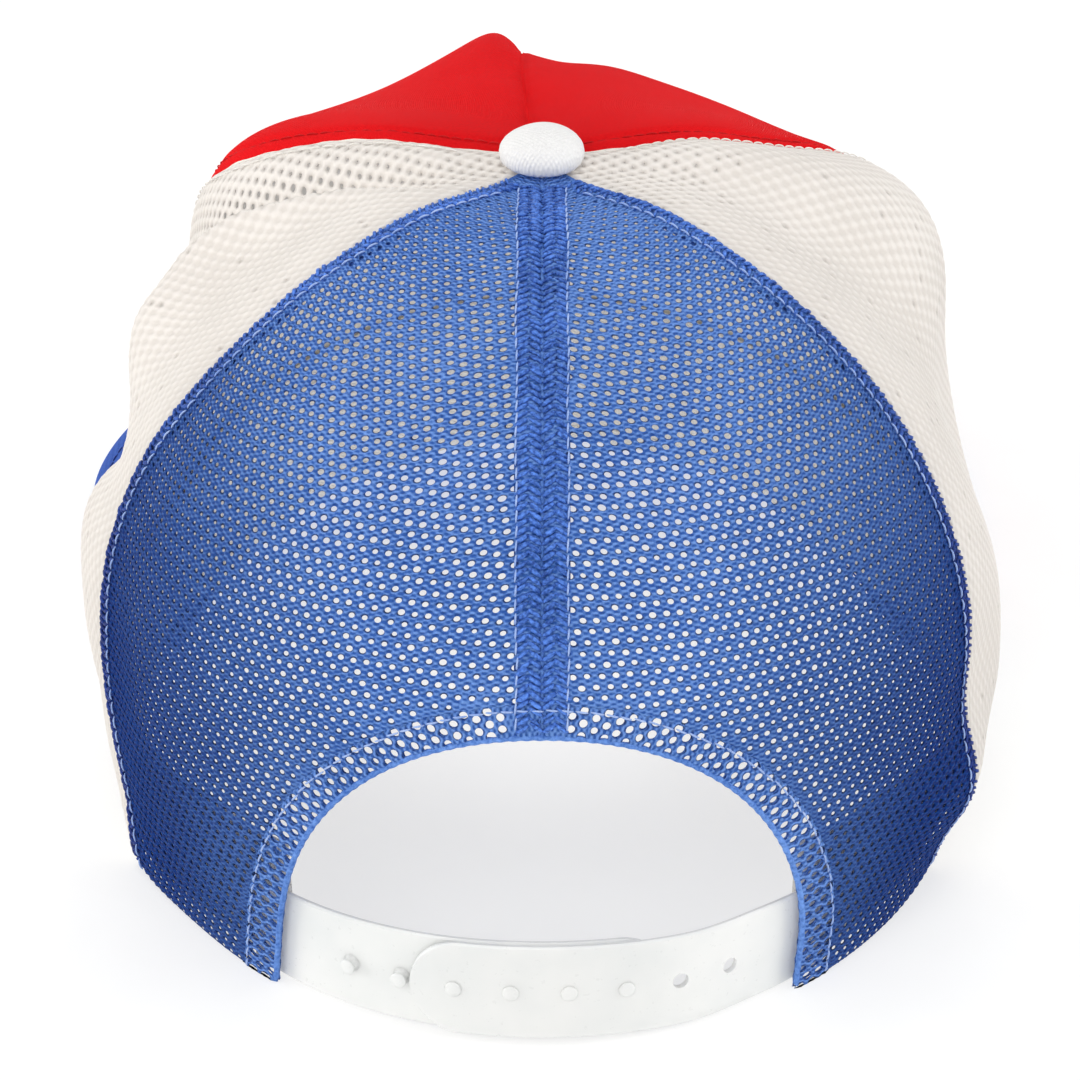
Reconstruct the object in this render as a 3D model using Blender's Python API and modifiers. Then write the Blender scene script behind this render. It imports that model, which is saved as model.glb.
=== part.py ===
"""A six-panel trucker cap with a foam front, mesh sides and back, and a plastic snap strap.

The cap stands on a surface by itself, on its rear hem and the two side edges of its brim.
+Z is up, the brim points along -Y, and +X is the wearer's left.

Sizes are in millimetres and angles in degrees. The crown is drawn in its own frame: the
button is on the vertical axis and the hem line of the back is at height 0, a little above the
cloth's lower edge. A crown angle is measured about that axis from the centre of the back,
positive towards the wearer's left. A share runs along the surface from 0 at the button to 1 at
the hem line. A depth is measured inwards from the outer surface.
"""
import math

import bmesh
import bpy
from mathutils import Matrix, Vector

MM = 0.001

# Crown
RIM_HALF_WIDTH = 84.0
RIM_HALF_LENGTH = 101.0
RIM_SQUARENESS = 1.96
CROWN_HEIGHT = 137.5
REST_TILT = 4.7            # the crown's lean on the surface it stands on
FRONT_HEM_RISE = 24.0      # front centre of the hem above its rear
HEM_RISE_START = 50.0      # crown angle where the hem leaves the surface
FLOOR_DROP = 2.0           # from the hem line to the surface it stands on
HEM_SHARE = 1.0148         # the cloth's lower edge, which is trimmed flat where it rests
CROWN_HOLE_SHARE = 0.023
TOP_DIP = 3.4              # how far the crown sinks behind the button
TOP_DIP_RISE = 12.0        # radius at which the front of the dip ends
TOP_DIP_FADE = (9.0, 35.0)     # radii between which it dies away behind
MESH_THICKNESS = 1.0
FOAM_THICKNESS = 3.5
FOAM_SEAM_THICKNESS = 1.3
FOAM_TAPER = 9.0           # width over which the foam thins to a seam
SEAM_GAP = 0.44

# Section of the crown at each crown angle, the same on both sides
SECTIONS = [
    # angle, widest radius over hem radius, height of the widest point, fullness of the top
    (0.0, 1.020, 0.42, 2.00),
    (32.0, 1.040, 0.42, 2.00),
    (64.0, 1.070, 0.31, 2.05),
    (88.0, 1.085, 0.17, 2.25),
    (108.0, 1.055, 0.11, 3.90),
    (135.0, 1.012, 0.12, 3.90),
    (160.0, 1.000, 0.12, 3.90),
    (180.0, 1.000, 0.12, 4.20),
]

# Dents (negative) and bulges of the worn cap
RELIEFS = [
    # angle, share, half width in angle, half width in share, height
    (175.0, 0.49, 6.0, 0.11, 5.0),        # peak on the left of the front seam
    (170.0, 0.38, 11.0, 0.145, 3.5),      # its flank
    (-179.0, 0.45, 6.5, 0.09, -5.0),      # lower right side of the front seam
    (146.0, 0.35, 17.0, 0.165, -3.0),     # slack shoulder of the left front
    (-144.0, 0.36, 23.0, 0.14, -5.0),     # slack shoulder of the right front
    (103.0, 0.58, 10.0, 0.17, -14.0),     # deep fold in the left side panel
    (94.0, 0.51, 8.5, 0.07, 6.5),         # roll behind that fold
    (64.0, 0.42, 8.0, 0.14, -1.5),        # slack flank of the roll
    (99.0, 0.62, 13.0, 0.05, -8.0),       # left side pressed in under the roll
    (90.0, 0.70, 15.0, 0.075, 3.0),       # swell under it
    (112.0, 0.71, 14.0, 0.18, -9.0),      # left side drawn in
    (66.0, 0.76, 9.0, 0.14, -2.0),        # left back seam drawn in
    (83.0, 0.88, 9.0, 0.05, -3.0),        # dent low on the left
    (64.0, 1.00, 11.0, 0.045, 2.5),       # hem turned out on the left
    (-113.0, 0.50, 13.0, 0.09, 3.0),      # full shoulder of the right side
    (-117.0, 0.30, 13.0, 0.13, -3.5),     # slack above it
    (-96.0, 0.63, 13.0, 0.13, -7.5),      # right side pressed in at half height
    (-85.0, 0.71, 15.0, 0.11, 1.5),       # swell under it
    (-68.0, 0.80, 7.0, 0.055, -2.0),      # dent low on the right
    (-62.0, 0.90, 10.0, 0.05, 4.0),       # bulge under that dent
]

# Seams between the panels
SEAMS = {
    # name: crown angles at the button, at every sixth of the way, and at the hem
    "rear": (0.0, 0.0, 0.0, 0.0, 0.0, 0.0, 0.0),
    "rear_left": (44.0, 52.0, 60.0, 67.0, 71.0, 70.5, 64.0),
    "rear_right": (-43.0, -51.0, -57.0, -61.0, -63.0, -63.5, -62.0),
    "front_left": (121.0, 110.5, 109.3, 120.5, 122.0, 122.0, 121.0),
    "front_right": (-116.0, -118.0, -121.0, -124.0, -126.0, -125.5, -122.0),
    "front": (171.0, 174.0, 176.0, 177.5, 178.5, 179.3, 180.0),
    # the same seam, met from the right
    "front_again": (-189.0, -186.0, -184.0, -182.5, -181.5, -180.7, -180.0),
}
GROOVE_START = 20.0        # radius from which the front seams are sunk in
SEAM_GROOVES = {
    # name: (depth, half width)
    "front": (1.4, 3.5),
    "front_left": (0.7, 3.0),
    "front_right": (0.7, 3.0),
}

PANELS = [
    # name, seam on its right, seam on its left, columns, material
    ("back_panel_left", "rear", "rear_left", 9, "blue_mesh"),
    ("back_panel_right", "rear_right", "rear", 9, "blue_mesh"),
    ("side_panel_left", "rear_left", "front_left", 9, "cream_mesh"),
    ("side_panel_right", "front_right", "rear_right", 9, "cream_mesh"),
    ("front_panel_left", "front_left", "front", 12, "red_foam"),
    ("front_panel_right", "front_again", "front_right", 12, "red_foam"),
]
PANEL_ROW_COUNT = 18

# Opening at the back
ARCH_HALF_WIDTH = 49.0
ARCH_SPRING = 10.0         # height where its straight sides end
ARCH_RISE = 53.0
ARCH_FULLNESS = 2.1
ARCH_LEAN = 1.2            # how far its feet lean to the wearer's left
ARCH_LEAN_HEIGHT = 25.0    # height where that lean ends
FACING_WIDTH = 6.5
FACING_INSET = 0.4
FACING_DEPTH = 1.55
FACING_THICKNESS = 0.8
FACING_FEET = (-3.5, 3.0)  # heights of its lower points; it is trimmed flat where it rests
ARCH_CUTTER_SPAN = (30.0, 150.0)
TAPE_HALF_WIDTH = 4.8
TAPE_START = 10.5          # length from the button to its upper end
TAPE_CLEARANCE = 0.5       # above the folded hem

# Snap strap
STRAP_WIDTH = 19.9
STRAP_BOTTOM = -0.6        # height of its lower edge at the centre of the back
STRAP_DROOP = 1.1          # how much lower it is at the sides of the opening
STRAP_THICKNESS = 1.2
STRAP_TAB = 64.0           # arc length from the centre of the back to the hidden tab end
STRAP_INNER_DEPTH = 2.8
STRAP_OUTER_DEPTH = 1.2
SNAP_PITCH = 10.8
SNAP_OFFSET = 5.8          # first engaged snap from the centre of the back
PEG_RADIUS = 1.25
HOLE_RADIUS = 1.6
PEG_TAPER = 0.2            # how much narrower a peg's tip is
PEG_PROUD = 0.4            # how far pegs stand out of the outer strap
PEG_ROOT = 0.6             # how far they start inside the inner strap
SNAP_EDGE = 8.8            # last snap to the strap end
STRAP_STEP = 1.5           # from the inner strap's tip to where the outer one sinks
STRAP_SETTLE = 3.0         # from the opening's side to where it lies flush

# Sweatband
SWEATBAND_TOP = 27.5       # height of its upper edge above the hem line
SWEATBAND_BOTTOM = -1.3    # and of its lower edge
SWEATBAND_THICKNESS = 1.2
SWEATBAND_END = 31.0       # crown angle of its ends
SWEATBAND_DEPTHS = [
    # crown angle, depth
    (0.0, 4.4), (43.0, 4.4), (60.0, 2.7), (102.0, 2.7), (117.0, 4.3), (180.0, 4.3),
]

# Brim
BRIM_THICKNESS = 3.2
BRIM_CORNER = 112.0        # crown angle of its rear corners
BRIM_INSET = 3.2           # how far it runs in under the hem
BRIM_HALF_WIDTH = 96.5
BRIM_SHIFT = 2.5           # towards the wearer's left
BRIM_WIDEST_Y = -108.0
BRIM_LENGTH = 66.0         # from its widest line to its front
BRIM_FULLNESS = 2.15
BRIM_FRONT_RISE = 16.0     # underside of the front centre above the surface
BRIM_WIDEST_AT = 0.68      # share of the way from its front to a corner
BRIM_CORNER_WIDTH = 5.0
BRIM_CORNER_SETBACK = 2.0      # forward of the hem's corner
BRIM_CORNER_DROP = 1.0         # below the hem's corner
BRIM_SWEEP = 0.35              # how straight its sides run to the corners, from 0 to 1
BRIM_CROWNING = 1.6            # how far its middle rises above a straight line
BRIM_SIDE_TOP = 2.956          # top of its side edges above the surface, which they touch

# Button
BUTTON_RADIUS = 8.2
BUTTON_HEIGHT = 5.9
BUTTON_LEAN = 9.5          # back from the crown's axis, with the top of the crown
SHANK_RADIUS = 3.0
SHANK_LENGTH = 2.6

FIT_GAP = 0.3
FLOOR_CUTTER = (400.0, 40.0)    # width and height
HOLE_CUTTER_REACH = 3.0         # past both faces of the strap

COLOURS = {
    # name: (colour, roughness)
    "blue_mesh": ((0.045, 0.125, 0.52, 1.0), 0.75),
    "blue_cloth": ((0.035, 0.105, 0.46, 1.0), 0.85),
    "cream_mesh": ((0.80, 0.76, 0.66, 1.0), 0.75),
    "cream_cloth": ((0.82, 0.80, 0.74, 1.0), 0.85),
    "red_foam": ((0.72, 0.022, 0.022, 1.0), 0.80),
    "white_plastic": ((0.86, 0.87, 0.86, 1.0), 0.35),
}


def smoothstep(value):
    t = min(1.0, max(0.0, value))
    return t * t * (3.0 - 2.0 * t)


def across(rows, value):
    """Piecewise linear reading of a table of (position, value) rows."""
    for (x0, y0), (x1, y1) in zip(rows, rows[1:]):
        if value <= x1:
            return y0 + (y1 - y0) * (value - x0) / (x1 - x0)
    return rows[-1][1]


def signed(angle):
    return (angle + 180.0) % 360.0 - 180.0


def hermite(t, value0, slope0, value1, slope1):
    return ((2 * t**3 - 3 * t**2 + 1) * value0 + (t**3 - 2 * t**2 + t) * slope0
            + (3 * t**2 - 2 * t**3) * value1 + (t**3 - t**2) * slope1)


def section_value(angle, column):
    """A column of SECTIONS at a crown angle, through a smooth curve over its rows."""
    a = abs(signed(angle))
    stops = [row[0] for row in SECTIONS]
    values = [row[column] for row in SECTIONS]
    stops = [-stops[1]] + stops + [360.0 - stops[-2]]
    values = [values[1]] + values + [values[-2]]
    for i in range(1, len(stops) - 2):
        if a <= stops[i + 1] + 1e-9:
            break
    span = stops[i + 1] - stops[i]
    t = (a - stops[i]) / span
    slope0 = (values[i + 1] - values[i - 1]) / (stops[i + 1] - stops[i - 1]) * span
    slope1 = (values[i + 2] - values[i]) / (stops[i + 2] - stops[i]) * span
    return hermite(t, values[i], slope0, values[i + 1], slope1)


def rim_radius(angle):
    s = abs(math.sin(math.radians(angle))) / RIM_HALF_WIDTH
    c = abs(math.cos(math.radians(angle))) / RIM_HALF_LENGTH
    return (s**RIM_SQUARENESS + c**RIM_SQUARENESS) ** (-1.0 / RIM_SQUARENESS)


def hem_height(angle):
    """The hem line in the crown's frame: level as the cap rests behind, higher in front."""
    back = RIM_HALF_LENGTH - rim_radius(angle) * math.cos(math.radians(angle))
    lift = (abs(signed(angle)) - HEM_RISE_START) / (180.0 - HEM_RISE_START)
    return back * math.tan(math.radians(REST_TILT)) + FRONT_HEM_RISE * smoothstep(lift)


def profile(angle):
    """Points (radius, height) from the button to the hem, and the length run at each."""
    hem_radius = rim_radius(angle)
    hem = hem_height(angle)
    widest = hem_radius * section_value(angle, 1)
    middle = hem + (CROWN_HEIGHT - hem) * section_value(angle, 2)
    power = 2.0 / section_value(angle, 3)
    points = []
    for k in range(49):
        turn = math.pi / 2 * k / 48
        points.append((widest * math.sin(turn) ** power,
                       middle + (CROWN_HEIGHT - middle) * max(0.0, math.cos(turn)) ** power))
    for k in range(1, 17):
        t = k / 16
        points.append((widest - (widest - hem_radius) * t * t, middle - (middle - hem) * t))
    lengths = [0.0]
    for (r0, z0), (r1, z1) in zip(points, points[1:]):
        lengths.append(lengths[-1] + math.hypot(r1 - r0, z1 - z0))
    return points, lengths


def seam_angle(name, share):
    """The crown angle of a seam at a share, on a smooth curve through its angles."""
    stops = SEAMS[name]
    at = min(1.0, share) * (len(stops) - 1)
    i = min(int(at), len(stops) - 2)
    t = at - i
    before, after = max(0, i - 1), min(len(stops) - 1, i + 2)
    slope0 = (stops[i + 1] - stops[before]) / (i + 1 - before)
    slope1 = (stops[after] - stops[i]) / (after - i)
    return hermite(t, stops[i], slope0, stops[i + 1], slope1)


def relief(angle, share, radius):
    behind = 1.0 + math.cos(math.radians(angle)) * smoothstep(radius / TOP_DIP_RISE)
    near, far = TOP_DIP_FADE
    height = -TOP_DIP / 2 * behind * (1.0 - smoothstep((radius - near) / (far - near)))
    for at_angle, at_share, wide, tall, amount in RELIEFS:
        a = signed(angle - at_angle) / wide
        s = (share - at_share) / tall
        height += amount * math.exp(-a * a - s * s)
    for name, (deep, half) in SEAM_GROOVES.items():
        away = math.radians(signed(angle - seam_angle(name, share))) * radius / half
        height -= deep * math.exp(-away * away) * smoothstep(radius / GROOVE_START)
    return height


def crown_point(angle, share, depth=0.0):
    """A point of the crown's surface, or inside it, in the crown's frame."""
    points, lengths = profile(angle)
    at = share * lengths[-1]
    i = 1
    while i < len(lengths) - 1 and lengths[i] < at:
        i += 1
    t = (at - lengths[i - 1]) / (lengths[i] - lengths[i - 1])
    r = points[i - 1][0] + (points[i][0] - points[i - 1][0]) * t
    z = points[i - 1][1] + (points[i][1] - points[i - 1][1]) * t
    lo, hi = max(0, i - 3), min(len(points) - 1, i + 2)
    run = Vector((points[hi][0] - points[lo][0], points[hi][1] - points[lo][1])).normalized()
    out = relief(angle, share, r) - depth
    r += out * -run.y
    z += out * run.x
    a = math.radians(angle)
    return Vector((r * math.sin(a), r * math.cos(a), z))


def share_above_hem(angle, height):
    """The share at a height above the hem, measured along the surface."""
    return 1.0 - height / profile(angle)[1][-1]


def angle_at_arc(arc):
    """The crown angle at a length along the hem from the centre of the back."""
    length = 0.0
    last = crown_point(0.0, 1.0)
    step = math.copysign(0.5, arc)
    angle = 0.0
    while abs(angle) < 80.0:
        point = crown_point(angle + step, 1.0)
        piece = math.hypot(point.x - last.x, point.y - last.y)
        if length + piece >= abs(arc):
            return angle + step * (abs(arc) - length) / piece
        length += piece
        angle += step
        last = point
    return angle


def surface_at(x, z):
    """The crown angle and share of the rear surface point with this x and height."""
    angle = math.degrees(math.asin(max(-0.8, min(0.8, x / 95.0))))
    share = share_above_hem(angle, z)
    for _ in range(12):
        here = crown_point(angle, share)
        side = crown_point(angle + 0.5, share) - here
        down = crown_point(angle, share + 0.005) - here
        dx, dz = x - here.x, z - here.z
        area = side.x * down.z - side.z * down.x
        angle += 0.5 * (dx * down.z - dz * down.x) / area
        share += 0.005 * (side.x * dz - side.z * dx) / area
    return angle, share


def rest(point):
    """From the crown's frame to the surface it stands on: tilted forward on its rear hem."""
    tilt = math.radians(REST_TILT)
    y = point.y - RIM_HALF_LENGTH
    return Vector((point.x,
                   RIM_HALF_LENGTH + y * math.cos(tilt) - point.z * math.sin(tilt),
                   y * math.sin(tilt) + point.z * math.cos(tilt)))


def material(name):
    if name in bpy.data.materials:
        return bpy.data.materials[name]
    colour, roughness = COLOURS[name]
    made = bpy.data.materials.new(name)
    made.use_nodes = True
    shader = made.node_tree.nodes["Principled BSDF"]
    shader.inputs["Base Color"].default_value = colour
    shader.inputs["Roughness"].default_value = roughness
    shader.inputs["Metallic"].default_value = 0.0
    return made


def add_object(name, mesh, collection, look=None):
    thing = bpy.data.objects.new(name, mesh)
    collection.objects.link(thing)
    if look:
        mesh.materials.append(material(look))
    return thing


def add_cutter(name, mesh, collection):
    cutter = add_object(name, mesh, collection)
    cutter.hide_render = True
    cutter.display_type = "WIRE"
    return cutter


def sheet(name, point_at, columns, rows):
    """An open surface from a grid of points: columns run across it, rows down it."""
    mesh = bpy.data.meshes.new(name)
    verts = [point_at(u, v) * MM for v in rows for u in columns]
    wide = len(columns)
    faces = [(j * wide + i, j * wide + i + 1, (j + 1) * wide + i + 1, (j + 1) * wide + i)
             for j in range(len(rows) - 1) for i in range(wide - 1)]
    mesh.from_pydata(verts, [], faces)
    return mesh


def face_outwards(mesh):
    """Turns the surface's faces away from the middle of the crown."""
    centre = rest(Vector((0.0, 0.0, CROWN_HEIGHT / 3))) * MM
    away = sum((p.center - centre).dot(p.normal) * p.area for p in mesh.polygons)
    if away < 0:
        mesh.flip_normals()


def solidify(thing, thickness, group=None, thinnest=1.0):
    shell = thing.modifiers.new("thickness", "SOLIDIFY")
    shell.thickness = thickness * MM
    shell.offset = -1.0
    shell.use_quality_normals = True
    if group:
        shell.vertex_group = group
        shell.thickness_vertex_group = thinnest
    return shell


def cut(thing, cutter, operation="DIFFERENCE"):
    boolean = thing.modifiers.new(cutter.name, "BOOLEAN")
    boolean.operation = operation
    boolean.object = cutter
    boolean.solver = "EXACT"


def steps(start, end, count):
    return [start + (end - start) * k / count for k in range(count + 1)]


def eased(count):
    """Shares from 0 to 1, closer together at both ends."""
    return [0.5 - 0.5 * math.cos(math.pi * k / count) for k in range(count + 1)]


def arch_outline(grow, feet):
    """The opening's outline (x, height), from its left foot over the top to the right."""
    half = ARCH_HALF_WIDTH + grow
    rise = ARCH_RISE + grow
    outline = []
    for k in range(-18, 19):
        turn = math.radians(5.0 * abs(k))
        x = half * math.sin(turn) ** (2.0 / ARCH_FULLNESS)
        z = ARCH_SPRING + rise * max(0.0, math.cos(turn)) ** (2.0 / ARCH_FULLNESS)
        outline.append((math.copysign(x, -k), z))
    left = [(half, z) for z in feet]
    right = [(-half, z) for z in reversed(feet)]
    whole = left + outline + right
    lean = [(ARCH_LEAN_HEIGHT - z) / ARCH_LEAN_HEIGHT for x, z in whole]
    return [(x + ARCH_LEAN * part * smoothstep(part), z) for (x, z), part in zip(whole, lean)]


def make_cutters(collection):
    outline = arch_outline(0.0, [-12.0])
    bm = bmesh.new()
    inside, outside = ARCH_CUTTER_SPAN
    near = [bm.verts.new(rest(Vector((x, outside, z))) * MM) for x, z in outline]
    far = [bm.verts.new(rest(Vector((x, inside, z))) * MM) for x, z in outline]
    bm.faces.new(near)
    bm.faces.new(far[::-1])
    for i in range(len(outline)):
        j = (i + 1) % len(outline)
        bm.faces.new((near[j], near[i], far[i], far[j]))
    bmesh.ops.recalc_face_normals(bm, faces=bm.faces)
    mesh = bpy.data.meshes.new("arch_cutter")
    bm.to_mesh(mesh)
    bm.free()
    arch = add_cutter("arch_cutter", mesh, collection)

    wide, tall = FLOOR_CUTTER
    bm = bmesh.new()
    middle = Vector((0.0, 0.0, -FLOOR_DROP - tall / 2)) * MM
    bmesh.ops.create_cube(bm, size=MM, matrix=Matrix.Translation(middle)
                          @ Matrix.Diagonal((wide, wide, tall, 1.0)))
    mesh = bpy.data.meshes.new("floor_cutter")
    bm.to_mesh(mesh)
    bm.free()
    floor = add_cutter("floor_cutter", mesh, collection)
    return arch, floor


def make_panels(collection, arch, floor):
    for name, right, left, columns, look in PANELS:
        def point_at(u, share, right=right, left=left):
            start, end = seam_angle(right, share), seam_angle(left, share)
            radius = max(4.0, crown_point(start, share).xy.length)
            inset = math.degrees(SEAM_GAP / 2 / radius)
            return rest(crown_point(start + inset + (end - start - 2 * inset) * u, share))

        rows = steps(CROWN_HOLE_SHARE, HEM_SHARE, PANEL_ROW_COUNT)
        us = eased(columns) if look == "red_foam" else steps(0.0, 1.0, columns)
        mesh = sheet(name, point_at, us, rows)
        face_outwards(mesh)
        panel = add_object(name, mesh, collection, look)
        if look == "red_foam":
            group = panel.vertex_groups.new(name="foam")
            for index in range(len(mesh.vertices)):
                u = us[index % len(us)]
                row = index // len(us)
                first = mesh.vertices[row * len(us)].co
                last = mesh.vertices[row * len(us) + len(us) - 1].co
                width = (first - last).length / MM
                group.add([index], smoothstep(min(u, 1.0 - u) * width / FOAM_TAPER), "REPLACE")
            solidify(panel, FOAM_THICKNESS, "foam", FOAM_SEAM_THICKNESS / FOAM_THICKNESS)
        else:
            solidify(panel, MESH_THICKNESS)
            cut(panel, floor)
        if name.startswith("back"):
            cut(panel, arch)


def make_facing(collection, floor):
    """The folded hem round the opening: a strip that follows the arch inside the panels."""
    inner = arch_outline(FACING_INSET, FACING_FEET)
    outer = arch_outline(FACING_INSET + FACING_WIDTH, FACING_FEET)
    rails = [[surface_at(x, z) for x, z in rail] for rail in (inner, outer)]

    def point_at(u, v):
        angle, share = rails[v][u]
        return rest(crown_point(angle, share, FACING_DEPTH))

    mesh = sheet("opening_facing", point_at, range(len(inner)), [0, 1])
    face_outwards(mesh)
    facing = add_object("opening_facing", mesh, collection, "blue_mesh")
    solidify(facing, FACING_THICKNESS)
    cut(facing, floor)


def make_tape(collection):
    top = TAPE_START / profile(0.0)[1][-1]
    arch_top = ARCH_SPRING + ARCH_RISE + FACING_INSET + FACING_WIDTH + TAPE_CLEARANCE
    bottom = surface_at(0.0, arch_top)[1]

    def point_at(u, share):
        radius = crown_point(0.0, share).y
        half = min(TAPE_HALF_WIDTH, radius * 0.5)
        return rest(crown_point(math.degrees(u * half / radius), share, FACING_DEPTH))

    mesh = sheet("back_seam_tape", point_at, [-1.0, 0.0, 1.0], steps(top, bottom, 13))
    face_outwards(mesh)
    tape = add_object("back_seam_tape", mesh, collection, "blue_mesh")
    solidify(tape, FACING_THICKNESS)


def make_sweatband(collection):
    def point_at(angle, height):
        away = abs(signed(angle))
        deep = across(SWEATBAND_DEPTHS, away)
        return rest(crown_point(angle, share_above_hem(angle, height), deep))

    columns = steps(SWEATBAND_END, 360.0 - SWEATBAND_END, 60)
    mesh = sheet("sweatband", point_at, columns, steps(SWEATBAND_TOP, SWEATBAND_BOTTOM, 3))
    face_outwards(mesh)
    band = add_object("sweatband", mesh, collection, "cream_cloth")
    solidify(band, SWEATBAND_THICKNESS)


def strap_middle(arc):
    """Height of the straps' centre line at a length along the hem."""
    return (STRAP_BOTTOM + STRAP_WIDTH / 2
            - STRAP_DROOP * smoothstep(abs(arc) / ARCH_HALF_WIDTH))


def strap_mesh(name, tip, tab, depth_at):
    """A strap from its rounded tip to its tab, as lengths along the hem."""
    way = math.copysign(1.0, tip - tab)
    half = STRAP_WIDTH / 2
    nose = [half * (1.0 - math.cos(math.radians(a))) for a in (12, 25, 38, 52, 68, 90)]
    columns = [tip - way * n for n in nose]
    columns += steps(columns[-1], tab, 15)[1:]
    angles = [angle_at_arc(arc) for arc in columns]

    def point_at(i, v):
        from_tip = min(half, abs(tip - columns[i]))
        tall = math.sqrt(half * half - (half - from_tip) ** 2)
        angle = angles[i]
        height = strap_middle(columns[i]) + v * tall
        return rest(crown_point(angle, share_above_hem(angle, height), depth_at(columns[i])))

    mesh = sheet(name, point_at, range(len(columns)), [1.0, 0.0, -1.0])
    face_outwards(mesh)
    return mesh


def snap_stack(name, arcs, radius, tip_radius, depth_from, depth_to, collection):
    """One cylinder at each snap, along the crown's normal."""
    bm = bmesh.new()
    for arc in arcs:
        angle = angle_at_arc(arc)
        share = share_above_hem(angle, strap_middle(arc))
        inner = rest(crown_point(angle, share, depth_from))
        side = rest(crown_point(angle + 1.0, share)) - rest(crown_point(angle - 1.0, share))
        up = rest(crown_point(angle, share - 0.01)) - rest(crown_point(angle, share + 0.01))
        out = up.cross(side).normalized()
        if out.y < 0:
            out = -out
        length = depth_from - depth_to
        turn = out.to_track_quat("Z", "Y").to_matrix().to_4x4()
        place = Matrix.Translation((inner + out * (length / 2)) * MM) @ turn
        bmesh.ops.create_cone(bm, cap_ends=True, segments=12, radius1=radius * MM,
                              radius2=tip_radius * MM, depth=length * MM, matrix=place)
    mesh = bpy.data.meshes.new(name)
    bm.to_mesh(mesh)
    bm.free()
    return add_cutter(name, mesh, collection)


def make_straps(collection, cutters):
    snaps = [SNAP_OFFSET + SNAP_PITCH * k for k in (1, 0, -1, -2)]
    pegs = [snaps[0] + 2 * SNAP_PITCH, snaps[0] + SNAP_PITCH] + snaps
    holes = snaps + [snaps[-1] - SNAP_PITCH, snaps[-1] - 2 * SNAP_PITCH]

    mesh = strap_mesh("strap_pegs", pegs[-1] - SNAP_EDGE, STRAP_TAB,
                      lambda arc: STRAP_INNER_DEPTH)
    inner = add_object("strap_pegs", mesh, collection, "white_plastic")
    solidify(inner, STRAP_THICKNESS)
    stack = snap_stack("pegs", pegs, PEG_RADIUS, PEG_RADIUS - PEG_TAPER,
                       STRAP_INNER_DEPTH + PEG_ROOT, STRAP_OUTER_DEPTH - PEG_PROUD, cutters)
    cut(inner, stack, "UNION")

    clear = -(abs(pegs[-1]) + SNAP_EDGE + STRAP_STEP)
    settled = -(ARCH_HALF_WIDTH - STRAP_SETTLE)

    def outer_depth(arc):
        sink = smoothstep((clear - arc) / (clear - settled))
        return STRAP_OUTER_DEPTH + (STRAP_INNER_DEPTH - STRAP_OUTER_DEPTH) * sink

    mesh = strap_mesh("strap_holes", holes[0] + SNAP_EDGE, -STRAP_TAB, outer_depth)
    outer = add_object("strap_holes", mesh, collection, "white_plastic")
    solidify(outer, STRAP_THICKNESS)
    stack = snap_stack("snap_holes", holes, HOLE_RADIUS, HOLE_RADIUS,
                       STRAP_INNER_DEPTH + HOLE_CUTTER_REACH,
                       STRAP_OUTER_DEPTH - HOLE_CUTTER_REACH, cutters)
    cut(outer, stack)


def brim_edges(w):
    """Inner and outer edge of the brim's top: w is 0 at the front and 1 or -1 at a corner."""
    angle = 180.0 - w * (180.0 - BRIM_CORNER)
    inner = rest(crown_point(angle, HEM_SHARE, BRIM_INSET))
    inner.z = rest(crown_point(angle, HEM_SHARE)).z - FIT_GAP
    side = math.copysign(1.0, w)
    corner = rest(crown_point(side * BRIM_CORNER, HEM_SHARE))
    side_top = BRIM_SIDE_TOP - FLOOR_DROP
    if abs(w) <= BRIM_WIDEST_AT:
        turn = math.radians(90.0 * abs(w) / BRIM_WIDEST_AT)
        x = side * BRIM_HALF_WIDTH * math.sin(turn) ** (2.0 / BRIM_FULLNESS)
        y = BRIM_WIDEST_Y - BRIM_LENGTH * max(0.0, math.cos(turn)) ** (2.0 / BRIM_FULLNESS)
        z = side_top + BRIM_FRONT_RISE * (1.0 - (x / BRIM_HALF_WIDTH) ** 2)
        return inner, Vector((x + BRIM_SHIFT, y, z))
    t = (abs(w) - BRIM_WIDEST_AT) / (1.0 - BRIM_WIDEST_AT)
    corner_x = corner.x + side * BRIM_CORNER_WIDTH
    wide_x = side * BRIM_HALF_WIDTH + BRIM_SHIFT
    x = wide_x + (corner_x - wide_x) * t * t
    back = BRIM_SWEEP * t + (1.0 - BRIM_SWEEP) * t * t
    y = BRIM_WIDEST_Y + (corner.y - BRIM_CORNER_SETBACK - BRIM_WIDEST_Y) * back
    z = side_top + (corner.z - FIT_GAP - side_top - BRIM_CORNER_DROP) * t * t
    return inner, Vector((x, y, z))


def make_brim(collection):
    def point_at(w, v):
        inner, outer = brim_edges(w)
        crowned = BRIM_CROWNING * math.sin(math.pi * v) * (1.0 - abs(w))
        return inner + (outer - inner) * v + Vector((0.0, 0.0, crowned))

    mesh = sheet("brim", point_at, steps(-1.0, 1.0, 36), [0.0, 0.12, 0.4, 0.7, 0.93, 1.0])
    if mesh.polygons[len(mesh.polygons) // 2].normal.z < 0:
        mesh.flip_normals()
    brim = add_object("brim", mesh, collection, "blue_cloth")
    solidify(brim, BRIM_THICKNESS)


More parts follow.
